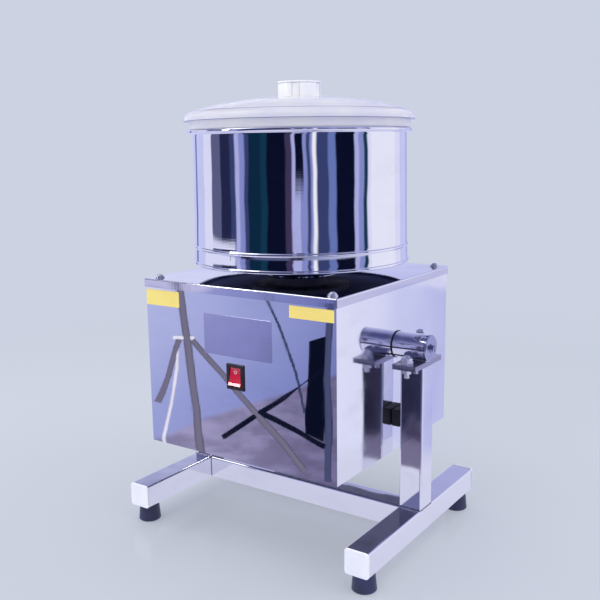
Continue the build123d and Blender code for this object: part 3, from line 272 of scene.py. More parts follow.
def granite(name, facing):
    """Dressed granite: pale and dark grains over grey, with a pecked face."""
    material, t, shader, place = surface(name)
    cloud = t.noise(place, 60.0, 6.0, 0.7)
    pale = t.add("ShaderNodeTexVoronoi", {"Vector": place, "Scale": 420.0}, feature="F1").outputs["Color"]
    grains = t.add("ShaderNodeSeparateColor", {0: pale}).outputs
    base = t.blend(t.spread(cloud, 0.3, 0.7), tint("3a3b40"), tint("5d5e64"))
    with_pale = t.blend(t.spread(grains[0], 0.72, 0.8), base, tint("a3a2a0"))
    with_dark = t.blend(t.spread(grains[1], 0.68, 0.76), with_pale, tint("17171a"))
    t.feed(shader.inputs["Base Color"], with_dark)
    t.feed(shader.inputs["Roughness"], t.spread(grains[2], 0.0, 1.0, 0.38, 0.62))
    pits = t.noise(place, facing, 4.0, 0.7)
    t.feed(shader.inputs["Normal"], t.add("ShaderNodeBump", {"Strength": 0.35, "Distance": 0.0006,
                                                             "Height": pits}).outputs[0])
    return material


def clear(name, colour, rough, haze, clarity, bend, edges):
    """Clear polycarbonate with moulding flow; each edge is a painted dark ring of radii and heights, where the
    clear plastic looks darker.
    """
    material, t, shader, place = surface(name)
    skin = use(t, MOULD, Place=place, Grain_Size=260.0, Depth=0.01, Rubbed=haze)
    tone = t.blend(skin["Mask"], tint(colour), tint("ffffff"))
    flat = t.add("ShaderNodeVectorMath", {0: place, 1: (1, 1, 0)}, operation="MULTIPLY").outputs[0]
    radius = t.add("ShaderNodeVectorMath", {0: flat}, operation="LENGTH").outputs["Value"]
    height = t.part(place, 2)
    for near, far, low, high, code in edges:
        across, along = t.between(radius, near, far, 0.0001), t.between(height, low, high, 0.0002)
        ring = t.times(across, along)
        tone = t.blend(ring, tone, tint(code))
    t.feed(shader.inputs["Base Color"], tone)
    t.feed(shader.inputs["Roughness"], t.math("ADD", rough, skin["Roughness"]))
    t.feed(shader.inputs["Normal"], skin["Normal"])
    shader.inputs["IOR"].default_value = bend
    shader.inputs["Transmission Weight"].default_value = clarity
    return material


panel_steel = steel("front panel polish", wave=0.02, wave_size=7.0, grain=(500, 6, 6), depth=0.003, smooth=0.01,
                    smears=0.02)
side_steel = steel("side panel polish", wave=0.10, wave_size=6.0, smooth=0.05, smears=0.08)
# Cover: the skirt, from 0.32 to 0.3292 high, gets painted shade that tones it darker than the top; above 0.3312
# the cover is made far darker and rougher.
cover_steel = steel("cover polish", wave=0.05, wave_size=8.0, grain=(900, 5, 5), depth=0.03, smooth=0.01,
                    smears=0.03, dust=0.02,
                    stains_and_shade=[(2, 0.32, 0.3292, 0.0004, "dddbea", 0.0), (2, 0.3312, 0.34, 0.0002, "34365a", 0.2)])
drum_steel = steel("drum polish", wave=0.035, wave_size=11.0, grain=(3, 3, 1500), depth=0.012, smooth=0.02,
                   smears=0.03)
drum_inside = steel("drum inside", colour=STEEL_DULL, wave=0.05, grain=(3, 3, 1200), depth=0.15, smooth=0.16,
                    smears=0.12)
tube_steel = steel("box tube polish", wave=0.04, wave_size=14.0, grain=(200, 8, 200), depth=0.01, smooth=0.03,
                   smears=0.06, dust=0.05, stains_and_shade=[(2, 0.2313, 0.2350, 0.0003, "b5b3c4", 0.22)])
block_steel = steel("pivot block polish", wave=0.06, wave_size=30.0, grain=(20, 900, 900), smooth=0.05,
                    smears=0.08, stains_and_shade=[(2, 0.2340, 0.2379, 0.0006, "b3afc2", 0.25)])
disc_steel = steel("end disc turning", colour="b4b6d0", wave=0.02, wave_size=60.0, grain=(9, 700, 700),
                   depth=0.15, smooth=0.16, smears=0.1)
bright_steel = steel("plated fastener", wave=0.03, wave_size=60.0, smooth=0.22, smears=0.1)
cap_steel = steel("bright cap bolt", colour="fafaff", wave=0.03, wave_size=60.0, smooth=0.34, smears=0.1)
sheet_steel = steel("galvanised sheet", colour=STEEL_DULL, wave=0.1, wave_size=12.0, smooth=0.32, smears=0.2)
turned_steel = steel("turned steel", colour=STEEL_DULL, wave=0.0, grain=(40, 40, 1800), depth=0.12, smooth=0.2,
                     smears=0.1)
dark_steel = steel("blackened steel", colour="5c5c63", wave=0.0, smooth=0.35, smears=0.15)
cast_alloy = steel("cast aluminium", colour="b9bbc2", wave=0.0, grain=(700, 700, 700), depth=0.5,
                   smooth=0.38, smears=0.15)
weld_steel = steel("heat-tinted weld", colour="b9b3bb", wave=0.0, grain=(900, 900, 900), depth=0.3,
                   smooth=0.22, smears=0.2)
# The hub under the drum is coloured dark navy, far darker than the cast aluminium pulley beside it.
hub_dark_navy = moulded("dark cast iron", "3c3f5c", "4a4d6c", 0.55, 0.25, 700.0, 0.3)
# Painted shade: the drum's steel underside is drawn as a dark blue-grey matt surface with hardly any gloss.
drum_underside_shade = moulded("dull drum underside", "4a5080", "565c8c", 0.6, 0.2, 700.0, 0.1,
                         gleam=0.05)
shaded_sheet = steel("shaded tray sheet", colour="66687e", wave=0.05, wave_size=12.0, smooth=0.4,
                     smears=0.2)
white_plastic = moulded("white cap plastic", "f4f4fd", "ecedf8", 0.28, 0.12)
black_plastic = moulded("black plastic", "15161b", "202127", 0.35, 0.2)
foot_rubber = moulded("foot rubber", "272b49", "333866", 0.42, 0.25, 1200.0, 0.2)
pad_rubber = moulded("pad rubber", "12131c", "1a1c2a", 0.5, 0.2, 1200.0, 0.2)
belt_rubber = moulded("belt rubber", "18181a", "2a2a2c", 0.55, 0.2)
red_plastic = moulded("rocker plastic", "cb0f33", "b50a2a", 0.14, 0.08, 300.0, 0.02, coat=1.0)
mark_paint = moulded("pale mark", "f6dfe2", "edc9cf", 0.4, 0.1)
nylon = moulded("blade nylon", "e6e6de", "d8d8ce", 0.4, 0.2)
motor_paint = moulded("motor paint", "3b4048", "4a4f57", 0.35, 0.2, 500.0, 0.2)
yellow_film = moulded("yellow label film", "f6e07e", "f2da74", 0.3, 0.15, 700.0, 0.05, coat=0.3)
plate_steel = steel("plain name plate", colour="d0cee8", wave=0.03, wave_size=20.0, grain=(500, 5, 5),
                    depth=0.04, smooth=0.16, smears=0.08)
copper = steel("winding copper", colour="c9773f", wave=0.0, grain=(900, 900, 60), depth=0.6, smooth=0.3)
bronze = steel("bush bronze", colour="b98a4e", wave=0.0, smooth=0.3)
iron = steel("stator laminations", colour="66666c", wave=0.0, grain=(10, 10, 3000), depth=0.5, smooth=0.4)
base_granite = granite("base granite", 700.0)
roller_granite = granite("roller granite", 520.0)
# The lid's and the knob's rings are painted dark lines along edges that look darker.
clear_plastic = clear("lid polycarbonate", "f6f4ff", 0.02, 0.03, 0.56, 1.12,
                      [(0.1300, 0.1370, 0.5317, 0.5324, "a3a6d6"), (0.1390, 0.1440, 0.5203, 0.5212, "9094c8")])
knob_plastic = clear("knob polycarbonate", "eeeefc", 0.05, 0.05, 0.12, 1.42,
                     [(0.0261, 0.0264, 0.5495, 0.5660, "a5a2cc"), (0.0266, 0.0280, 0.5655, 0.5662, "b5b2d8")])

FINISH = {
    tube_steel: ["left_skid", "right_skid", "cross_tube", "left_post", "right_post"],
    block_steel: ["left_pivot_block", "right_pivot_block"],
    disc_steel: ["trunnion_end_caps"],
    white_plastic: ["skid_end_caps"],
    foot_rubber: ["rubber_feet", "cord_grommet"],
    pad_rubber: ["rubber_rub_pads"],
    bright_steel: ["foot_bolts", "side_panel_bolts", "yoke_fasteners", "lid_screw"],
    cap_steel: ["cover_bolts", "pivot_plate_fasteners"],
    panel_steel: ["front_panel"],
    side_steel: ["back_panel", "left_side_panel", "right_side_panel"],
    cover_steel: ["top_cover"],
    sheet_steel: ["corner_brackets", "drive_deck"],
    shaded_sheet: ["bottom_tray"],
    turned_steel: ["left_trunnion", "right_trunnion", "centre_spindle", "bearing_inner_races", "motor_rotor",
                   "bearing_outer_races", "pressure_spring", "tension_knob"],
    dark_steel: ["deck_fasteners", "hub_bolts"],
    black_plastic: ["thrust_washers", "switch_body", "motor_fan"],
    motor_paint: ["motor_shell"],
    cast_alloy: ["motor_end_shields", "run_capacitor", "motor_pulley", "drum_pulley"],
    hub_dark_navy: ["drum_hub"],
    iron: ["motor_stator"],
    copper: ["motor_windings"],
    belt_rubber: ["drive_belt"],
    red_plastic: ["switch_rocker"],
    drum_steel: ["drum_shell", "stone_yoke"],
    base_granite: ["base_stone"],
    roller_granite: ["left_roller_stone", "right_roller_stone"],
    nylon: ["scraper_blade"],
    bronze: ["left_roller_bush", "right_roller_bush"],
    clear_plastic: ["lid_shell"],
    knob_plastic: ["lid_knob"],
}


def dress(piece, *materials):
    """Gives every face of a piece the first of its materials."""
    piece.data.materials.clear()
    for material in materials:
        piece.data.materials.append(material)
    piece.data.polygons.foreach_set("material_index", [0] * len(piece.data.polygons))


for material, names in FINISH.items():
    for name in names:
        dress(nodes[name], material)


# Meshes
def link(name, mesh):
    """A new object in the scene around a mesh, lamp or camera."""
    piece = bpy.data.objects.new(name, mesh)
    bpy.context.scene.collection.objects.link(piece)
    return piece


def shell(name, points, faces, crisp=28.0):
    """A closed mesh, smooth except along its sharper edges."""
    mesh = bpy.data.meshes.new(name)
    mesh.from_pydata(points, [], faces)
    work = bmesh.new()
    work.from_mesh(mesh)
    bmesh.ops.recalc_face_normals(work, faces=work.faces)
    work.to_mesh(mesh)
    work.free()
    mesh.shade_smooth()
    mesh.set_sharp_from_angle(angle=math.radians(crisp))
    return link(name, mesh)


def walls(rings, n, closed=False):
    """Faces between rings of n points each, one ring after another."""
    faces = []
    for ring in range(rings if closed else rings - 1):
        here, there = ring * n, (ring + 1) % rings * n
        for k in range(n):
            m = (k + 1) % n
            faces.append([here + k, here + m, there + m, there + k])
    return faces


def pane(name, corners):
    """A flat piece between four corners, in metres."""
    mesh = bpy.data.meshes.new(name)
    mesh.from_pydata(corners, [], [(0, 1, 2, 3)])
    return link(name, mesh)


SIDE_SHARE = 0.48      # a rounding takes up no more of a side than this


def eased(corners, parts=5):
    """Closed outline whose corners with a third number are rounded by about that much."""
    line = []
    for k, corner in enumerate(corners):
        tip = Vector(corner[:2])
        if len(corner) < 3:
            line.append(tuple(tip))
            continue
        before = Vector(corners[k - 1][:2]) - tip
        after = Vector(corners[(k + 1) % len(corners)][:2]) - tip
        start = tip + before.normalized() * min(corner[2], before.length * SIDE_SHARE)
        end = tip + after.normalized() * min(corner[2], after.length * SIDE_SHARE)
        for part in range(parts + 1):
            s = part / parts
            line.append(tuple(start * (1 - s) ** 2 + tip * 2 * s * (1 - s) + end * s * s))
    return line


def turned(name, outline, steps=256, crisp=28.0, lobes=None):
    """A shape turned about the drum's axis from a closed outline of (radius, height) in millimetres."""
    points, faces, rings = [], [], []
    for radius, height in outline:
        first = len(points)
        if radius < 0.001:
            rings.append([first])
            points.append((0, 0, height * MM))
            continue
        rings.append(list(range(first, first + steps)))
        for k in range(steps):
            a = 2 * math.pi * k / steps
            r = (lobes(radius, a) if lobes else radius) * MM
            points.append((r * math.cos(a), r * math.sin(a), height * MM))
    for a, b in zip(rings, rings[1:] + rings[:1]):
        if len(a) == 1 and len(b) == 1:
            continue
        for k in range(steps):
            n = (k + 1) % steps
            corners = [a[k % len(a)], b[k % len(b)], b[n % len(b)], a[n % len(a)]]
            faces.append(list(dict.fromkeys(corners)))
    return shell(name, points, faces, crisp)


DRUM_OUTLINE = eased([
    (14.0, 351.0), (131.9, 351.0, 0.8), (131.9, 348.0, 0.7), (136.9, 348.0, 1.3), (136.9, 351.4, 1.3),
    (135.3, 351.6, 0.5), (135.3, 367.6, 0.6), (136.0, 368.3, 0.9), (136.0, 370.4, 0.9), (134.8, 371.2, 0.7),
    (134.75, 374.0), (133.05, 502.0), (133.0, 505.7, 1.2), (139.4, 505.7, 2.5), (139.4, 510.7, 2.5),
    (131.8, 510.7, 1.6), (133.6, 371.0), (133.6, 352.2, 2.0), (15.5, 352.2, 1.2), (15.5, 452.0, 0.6),
    (14.0, 452.0, 0.6)])
# Where the drum's polish, satin inside and painted shade underneath meet, in metres
UNDER_TOP, UNDER_REACH = 0.35105, 0.1353     # the underside's upper limit and outer radius
INSIDE_LOW, INSIDE_REACH = 0.3521, 0.1345    # the bowl's lower limit and outer radius
FLOOR_TOP, SLEEVE_REACH = 0.356, 0.02        # top of the bowl's floor, radius of its centre sleeve
FACES_DOWN = -0.3


def make_drum():
    """Spun drum: polished outside, satin inside, and painted shade underneath in dark blue-grey."""
    drum = turned("spun_drum", DRUM_OUTLINE, steps=320)
    dress(drum, drum_steel, drum_inside, drum_underside_shade)
    for face in drum.data.polygons:
        middle, normal = face.center, face.normal
        outward = normal.x * middle.x + normal.y * middle.y
        reach = math.hypot(middle.x, middle.y)
        under = middle.z < UNDER_TOP and reach < UNDER_REACH
        inside = middle.z > INSIDE_LOW and reach < INSIDE_REACH
        if under and (normal.z < FACES_DOWN or outward < 0):
            face.material_index = 2
        elif inside and (outward < 0 or middle.z < FLOOR_TOP or reach < SLEEVE_REACH):
            face.material_index = 1
    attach(drum, "drum")
    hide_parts("drum_shell")


LID_OUTLINE = eased([
    (0, 549.5), (28.0, 549.5, 4.0), (56.0, 547.2, 8.0), (84.0, 543.9, 8.0), (112.0, 538.7, 8.0),
    (130.0, 533.9, 5.0), (138.6, 530.6, 3.0), (143.2, 526.2, 3.0), (143.2, 520.5, 0.9), (137.6, 520.5, 1.2),
    (137.6, 511.0, 0.7), (135.1, 511.0, 0.7), (135.1, 528.0, 2.0), (130.5, 528.0, 1.5), (130.5, 503.0, 0.8),
    (128.0, 503.0, 0.8), (128.0, 529.6, 2.0), (112.0, 535.6, 6.0), (84.0, 541.2, 8.0), (56.0, 544.6, 8.0),
    (27.0, 547.0, 4.0), (0, 547.0)])
KNOB_OUTLINE = eased([
    (0, 567.6), (20.0, 567.6, 3.0), (22.0, 568.0, 1.0), (27.2, 568.0, 0.9), (27.2, 566.0, 0.5),
    (26.6, 565.6, 0.3), (26.6, 549.5, 0.4), (22.3, 549.5, 0.4), (22.3, 565.5, 1.2), (6.0, 565.5, 0.8),
    (6.0, 549.5, 0.3), (2.6, 549.5), (2.6, 563.0), (0, 563.0)])
KNOB_LOBES, FLUTE_RADIUS, FLUTE_DEPTH, FLUTE_HEADING = 5, 10.0, 1.8, 7.1
KNOB_WALL = (22.0, 26.7)      # inner and outer radius of the wall that the flutes cut
KNOB_OUTSIDE = 26             # beyond this radius it is the wall's outer face


def fluted(radius, heading):
    """Radius of the knob's wall where its finger flutes cut into it."""
    if not KNOB_WALL[0] < radius < KNOB_WALL[1]:
        return radius
    pitch = 2 * math.pi / KNOB_LOBES
    off = (heading - math.radians(FLUTE_HEADING) + pitch / 2) % pitch - pitch / 2
    away = radius + FLUTE_RADIUS - FLUTE_DEPTH
    inside = FLUTE_RADIUS ** 2 - (away * math.sin(off)) ** 2
    if inside <= 0:
        return radius
    cut = away * math.cos(off) - math.sqrt(inside)
    spare = 0 if radius > KNOB_OUTSIDE else FLUTE_DEPTH
    return min(radius, max(cut, radius - FLUTE_DEPTH + spare))


def make_lid():
    """Domed clear lid and its lobed knob."""
    dome = turned("domed_lid", LID_OUTLINE, steps=256)
    dress(dome, clear_plastic)
    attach(dome, "lid")
    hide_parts("lid_shell")
    knob = turned("lobed_knob", KNOB_OUTLINE, steps=240, lobes=fluted)
    dress(knob, knob_plastic)
    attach(knob, "lid")
    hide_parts("lid_knob")


make_drum()
make_lid()


PLATE_BEVEL = 0.4      # of the plate's thickness


def front_plate(name, x, z, thick, corner, material):
    """Thin plate with rounded corners on the front panel, each range given as a pair in millimetres."""
    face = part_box("front_panel")[0][1] / MM
    ring = []
    for cx, cz, start in ((x[1] - corner, z[1] - corner, 0), (x[0] + corner, z[1] - corner, 90),
                          (x[0] + corner, z[0] + corner, 180), (x[1] - corner, z[0] + corner, 270)):
        for degrees in range(0, 91, 15):
            a = math.radians(start + degrees)
            ring.append((cx + corner * math.cos(a), cz + corner * math.sin(a)))
    edge = thick * PLATE_BEVEL
    layers = [(0, face), (0, face - thick + edge), (edge, face - thick)]
    points = []
    for inset, y in layers:
        for px, pz in ring:
            wide = (px - (x[0] + x[1]) / 2) / ((x[1] - x[0]) / 2)
            tall = (pz - (z[0] + z[1]) / 2) / ((z[1] - z[0]) / 2)
            points.append(((px - wide * inset) * MM, y * MM, (pz - tall * inset) * MM))
    n = len(ring)
    plate = shell(name, points, [list(range(n)), list(range(2 * n, 3 * n))] + walls(3, n))
    dress(plate, material)
    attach(plate, "tilting_head")


front_plate("left_label", (-139.0, -85.0), (298.6, 318.0), 0.25, 1.0, yellow_film)
front_plate("right_label", (78.0, 136.5), (304.2, 318.3), 0.25, 1.0, yellow_film)
front_plate("name_plate", (-46.5, 53.5), (248.0, 297.0), 0.35, 1.5, plate_steel)


ROCKER_PIVOT = (-137.75, 224.5)
ROCKER_REST = math.radians(10)
ROCKER_HALF, ROCKER_WIDE = 10.8, 9.4
ROCKER_BACK, ROCKER_EASE = 2.6, 0.5    # depth behind the pivot, rounding of the two sides
MARK_PLACE = 0.76                      # of the rocker's height, up from its foot
# The rocker's face from foot to top: place along its half height, reach in front of the pivot
ROCKER_HOLLOW = [(-1.0, 3.75), (-0.985, 4.13), (-0.93, 3.9), (-0.82, 3.45), (-0.70, 2.98), (-0.58, 2.64),
                 (-0.46, 2.5), (0.0, 2.6), (0.4, 2.75), (0.64, 2.85), (0.76, 3.05), (0.85, 3.35),
                 (0.93, 3.75), (0.985, 4.13), (1.0, 3.75)]
# The ring mark's section: radius, height above the face
MARK_SECTION = [(1.45, -0.15), (1.45, 0.06), (1.55, 0.1), (1.95, 0.1), (2.05, 0.06), (2.05, -0.15)]
MARK_STEPS = 32


def make_rocker():
    """Hollow-faced rocker at rest in the off position, with its ring mark near the top."""
    face = [(-reach, along * ROCKER_HALF) for along, reach in ROCKER_HOLLOW]
    section = face + [(ROCKER_BACK, ROCKER_HALF), (ROCKER_BACK, -ROCKER_HALF)]
    points, n = [], len(section)
    tip_cos, tip_sin = math.cos(ROCKER_REST), math.sin(ROCKER_REST)
    for x, sunk in ((-ROCKER_WIDE, ROCKER_EASE), (-ROCKER_WIDE + ROCKER_EASE, 0.0),
                    (ROCKER_WIDE - ROCKER_EASE, 0.0), (ROCKER_WIDE, ROCKER_EASE)):
        for k, (y, z) in enumerate(section):
            y += sunk if k < len(face) else 0
            points.append((x * MM, (ROCKER_PIVOT[0] + y * tip_cos + z * tip_sin) * MM,
                           (ROCKER_PIVOT[1] - y * tip_sin + z * tip_cos) * MM))
    faces = walls(4, n) + [list(range(n)), list(range(3 * n, 4 * n))]
    rocker = shell("red_rocker", points, faces, crisp=40)
    dress(rocker, red_plastic)
    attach(rocker, "switch_key")
    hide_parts("switch_rocker")
    tree = BVHTree.FromPolygons([v.co for v in rocker.data.vertices],
                                [list(p.vertices) for p in rocker.data.polygons])
    low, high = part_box("switch_rocker")
    middle = Vector(((low[0] + high[0]) / 2, low[1], low[2] + (high[2] - low[2]) * MARK_PLACE))
    spot, normal, _, _ = tree.ray_cast(middle - Vector((0, 0.01, 0)), Vector((0, 1, 0)))
    normal = normal if normal.y < 0 else -normal
    across = Vector((1, 0, 0))
    along = normal.cross(across).normalized()
    points = []
    for k in range(MARK_STEPS):
        a = 2 * math.pi * k / MARK_STEPS
        spoke = across * math.cos(a) + along * math.sin(a)
        points += [tuple(spot + spoke * r * MM + normal * h * MM) for r, h in MARK_SECTION]
    mark = shell("off_mark", points, walls(MARK_STEPS, len(MARK_SECTION), closed=True), crisp=40)
    dress(mark, mark_paint)
    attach(mark, "switch_key")


make_rocker()


def soft_block(name, low, high, round_off):
    """Block with rounded edges between two corners in millimetres."""
    work = bmesh.new()
    bmesh.ops.create_cube(work, size=1.0)
    for vertex in work.verts:
        vertex.co = Vector([(low[k] if vertex.co[k] < 0 else high[k]) * MM for k in range(3)])
    bmesh.ops.bevel(work, geom=list(work.edges), offset=round_off * MM, segments=4, profile=0.5, affect="EDGES")
    bmesh.ops.recalc_face_normals(work, faces=work.faces)
    mesh = bpy.data.meshes.new(name)
    work.to_mesh(mesh)
    work.free()
    mesh.shade_smooth()
    mesh.set_sharp_from_angle(angle=math.radians(40))
    return link(name, mesh)


PAD_REACH, PAD_HALF, PAD_HEIGHTS, PAD_ROUND = (139.6, 150.9), 15.0, (154.0, 174.5), 1.6
for side, label in ((-1, "left"), (1, "right")):
    x = sorted(side * reach for reach in PAD_REACH)
    pad = soft_block(label + "_rub_pad", (x[0], -PAD_HALF, PAD_HEIGHTS[0]), (x[1], PAD_HALF, PAD_HEIGHTS[1]),
                     PAD_ROUND)
    dress(pad, pad_rubber)
    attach(pad, "stand")
    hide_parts("rubber_rub_pads")


# What repeats along a path: weld ripples, stud threads and the knob's knurl
def make_row(name, shape, sizes):
    """Geometry Nodes tree that sets one small shape after another along edges."""
    tree = bpy.data.node_groups.new(name, "GeometryNodeTree")
    tree.interface.new_socket("Geometry", in_out="INPUT", socket_type="NodeSocketGeometry")
    for label, value in sizes.items():
        socket = tree.interface.new_socket(label, in_out="INPUT", socket_type="NodeSocketFloat")
        socket.default_value = value
    tree.interface.new_socket("Finish", in_out="INPUT", socket_type="NodeSocketMaterial")
    tree.interface.new_socket("Geometry", in_out="OUTPUT", socket_type="NodeSocketGeometry")
    t = Tree(tree)
    given = t.add("NodeGroupInput").outputs
    path = t.add("GeometryNodeMeshToCurve", {"Mesh": given["Geometry"]}).outputs[0]
    spaced = t.add("GeometryNodeResampleCurve", {"Curve": path, "Length": given["Pitch"]}, mode="LENGTH")
    if shape == "ripple":
        one = t.add("GeometryNodeMeshUVSphere", {"Segments": 8, "Rings": 6, "Radius": given["Size"]}).outputs[0]
    else:
        one = t.add("GeometryNodeMeshCylinder", {"Vertices": 20, "Radius": given["Size"],
                                                 "Depth": given["Thick"]}).outputs[0]
    tangent = t.add("GeometryNodeInputTangent").outputs[0]
    facing = t.add("FunctionNodeAlignRotationToVector", {"Vector": tangent}, axis="Z").outputs[0]
    smallest, largest = (0.92, 1.08) if shape == "ripple" else (1.0, 1.0)
    vary = t.add("FunctionNodeRandomValue", {"Seed": 7, 2: smallest, 3: largest}, data_type="FLOAT")
    rows = t.add("GeometryNodeInstanceOnPoints", {"Points": spaced.outputs[0], "Instance": one,
                                                  "Rotation": facing, "Scale": vary.outputs[1]})
    solid = t.add("GeometryNodeRealizeInstances", {0: rows.outputs[0]}).outputs[0]
    done = t.add("GeometryNodeSetMaterial", {"Geometry": solid, "Material": given["Finish"]}).outputs[0]
    t.feed(t.add("NodeGroupOutput").inputs[0], done)
    return tree


def row_piece(name, tree, paths, values, body):
    """Runs a row tree over straight paths given in millimetres and keeps the result as a plain mesh."""
    points, edges = [], []
    for path in paths:
        for k, point in enumerate(path):
            if k:
                edges.append((len(points) - 1, len(points)))
            points.append(tuple(c * MM for c in point))
    mesh = bpy.data.meshes.new(name)
    mesh.from_pydata(points, edges, [])
    source = link(name + "_path", mesh)
    modifier = source.modifiers.new("row", "NODES")
    modifier.node_group = tree
    for item in tree.interface.items_tree:
        if item.in_out == "INPUT" and item.name in values:
            modifier[item.identifier] = values[item.name]
    bpy.context.view_layer.update()
    seen = source.evaluated_get(bpy.context.evaluated_depsgraph_get())
    plain = bpy.data.meshes.new_from_object(seen)
    source.modifiers.remove(modifier)
    bpy.data.objects.remove(source)
    plain.shade_smooth()
    piece = link(name, plain)
    dress(piece, values["Finish"])
    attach(piece, body)


RIPPLES = make_row("weld ripples", "ripple", {"Size": 0.0012, "Pitch": 0.0011})
THREADS = make_row("thread rings", "ring", {"Size": 0.0031, "Thick": 0.0005, "Pitch": 0.001})

# Weld lines of the right side from point to point, in millimetres; the left side mirrors them
WELDS = [
    ((151.0, -14.0, 53.0), (151.0, 14.0, 53.0)),       # cross tube on the skid: top and two sides
    ((151.0, -15.0, 25.0), (151.0, -15.0, 51.0)),
    ((151.0, 15.0, 25.0), (151.0, 15.0, 51.0)),
    ((153.0, -15.0, 53.2), (179.0, -15.0, 53.2)),      # post on the skid: front, back and outside
    ((153.0, 15.0, 53.2), (179.0, 15.0, 53.2)),
    ((181.0, -13.0, 53.2), (181.0, 13.0, 53.2)),
    ((153.0, -15.0, 231.4), (179.0, -15.0, 231.4)),    # pivot plate on the post
    ((153.0, 15.0, 231.4), (179.0, 15.0, 231.4)),
    ((152.0, -7.4, 238.6), (180.0, -7.4, 238.6)),      # pivot block's saddle on its plate
    ((152.0, 7.4, 238.6), (180.0, 7.4, 238.6)),
]
STUD_X, STUD_Y, STUD_HEIGHTS = 166.0, 27.0, (221.4, 226.4)
KNURL_RADIUS, KNURL_HEIGHTS, KNURL_LINES = 14.0, (503.0, 529.0), 40

weld_paths = [[(side * x, y, z) for x, y, z in line] for side in (-1, 1) for line in WELDS]
row_piece("stand_welds", RIPPLES, weld_paths, {"Size": 0.0010, "Pitch": 0.0011, "Finish": weld_steel}, "stand")
stud_paths = [[(i * STUD_X, j * STUD_Y, z) for z in STUD_HEIGHTS] for i in (-1, 1) for j in (-1, 1)]
row_piece("stud_threads", THREADS, stud_paths, {"Size": 0.00318, "Thick": 0.0005, "Pitch": 0.001,
                                                "Finish": bright_steel}, "stand")
knurl_paths = [[(KNURL_RADIUS * math.cos(a), KNURL_RADIUS * math.sin(a), z) for z in KNURL_HEIGHTS]
               for a in (2 * math.pi * k / KNURL_LINES for k in range(KNURL_LINES))]
row_piece("knob_knurl", RIPPLES, knurl_paths, {"Size": 0.0006, "Pitch": 0.0012, "Finish": turned_steel},
          "tilting_head")

# Camera, as fitted to the photograph
EYE = Vector((0.5839, -0.8554, 0.4880))
YAW, PITCH, ROLL = 0.60114, 0.18512, -0.01306
FOCAL = 812.99
SENSOR = 36.0
FRAME_SIDE = 600

ahead = Vector((-math.sin(YAW) * math.cos(PITCH), math.cos(YAW) * math.cos(PITCH), -math.sin(PITCH)))
level = Vector((math.cos(YAW), math.sin(YAW), 0))
upward = level.cross(ahead)
right = level * math.cos(ROLL) + upward * math.sin(ROLL)
upright = upward * math.cos(ROLL) - level * math.sin(ROLL)
lens = bpy.data.cameras.new("camera")
lens.sensor_width = SENSOR
lens.lens = FOCAL / FRAME_SIDE * SENSOR
camera = link("camera", lens)
aim = Matrix((right, upright, -ahead)).transposed().to_4x4()
camera.matrix_world = Matrix.Translation(EYE) @ aim
bpy.context.scene.camera = camera
bpy.context.scene.view_settings.view_transform = "Standard"

# What the polished steel mirrors, by heading in degrees: 0 is towards the camera, 90 to the picture's right
TONES = {
    "white": "f8f8ff", "bright": "f1f2ff", "pale": "e4e5fc", "lavender": "ccd0f6", "mist": "b3b6e4",
    "blue": "8a92cc", "steel blue": "6b7bb8", "slate": "5d6284", "dusk": "3a4470", "night": "0a0f28",
    "ink": "24284a", "teal": "12384f", "deep teal": "0c2a42", "plum": "3f3758",
}
LEFT_ROUND = [(-180, "lavender"), (-147, "steel blue"), (-141, "lavender"), (-122, "pale"), (-106, "slate"),
              (-92, "ink"), (-78, "dusk"), (-71, "mist"), (-66, "blue"), (-60, "dusk"), (-55.5, "deep teal"),
              (-42, "teal"), (-35, "night"), (-15.5, "plum"), (-9, "mist"), (0, None)]
RIGHT_ROUND = [(0, "blue"), (7, "dusk"), (10.5, "blue"), (13.2, "white"), (17.2, "dusk"), (29, "steel blue"),
               (37, "night"), (57.8, "mist"), (63, "blue"), (69, "teal"), (73.5, "pale"), (78, "bright"),
               (118, "pale"), (130, "lavender"), (150, "mist"), (162, "lavender"), (180, None)]
EDGE = 0.8    # half the width of a soft edge between two colours, in degrees
# The same below the table's height
LOW_ROUND = [(-180, "dfe1f8"), (-100, "c6caf0"), (-80, "bcc2ea"), (-75, "afb5e3"), (-72, "a1a9da"),
             (-69, "949cd1"), (-66.2, "8890c8"), (-64.8, "26263f"), (-61.9, "26263f"), (-61.7, "403c58"),
             (-61.3, "403c58"), (-61.0, "16162b"), (-57, "16162b"), (-48, "5a5f86"), (-14, "5a5f86"),
             (-9, "26263f"), (-5.7, "26263f"), (-5.5, "6b6580"), (-5.15, "6b6580"), (-4.9, "1c1c33"),
             (0, "1c1c33"), (4, "8890b8"), (60, "d0d3f0"), (113, "ebecff"), (116, "e6e7fd"), (118.3, "d3d6f6"),
             (120.4, "c6c9f0"), (122, "b8bbe8"), (123.8, "aaade0"), (130, "b8bbe8"), (180, "e0e2fa")]
# Key light: heading and elevation, half its width; then what lies around it, by degrees away from its middle
KEY_LIGHT = (-88, 53)
KEY_HALF, KEY_STRENGTH = 12, 3.0
OVERHEAD = [(0, "fbfcff"), (12, "f6f7ff"), (16, "dfe2f6"), (21, "c4c8ea"), (27, "999dc8"), (34, "7478a0"),
            (40, "8084ae"), (46, "50557f"), (57, "4f5482"), (65, "8c8fba"), (75, "a2a5d2"), (90, "c0c3ea"),
            (180, "c0c3ea")]
SWAY = 5.0    # how far the upright edges waver, in degrees
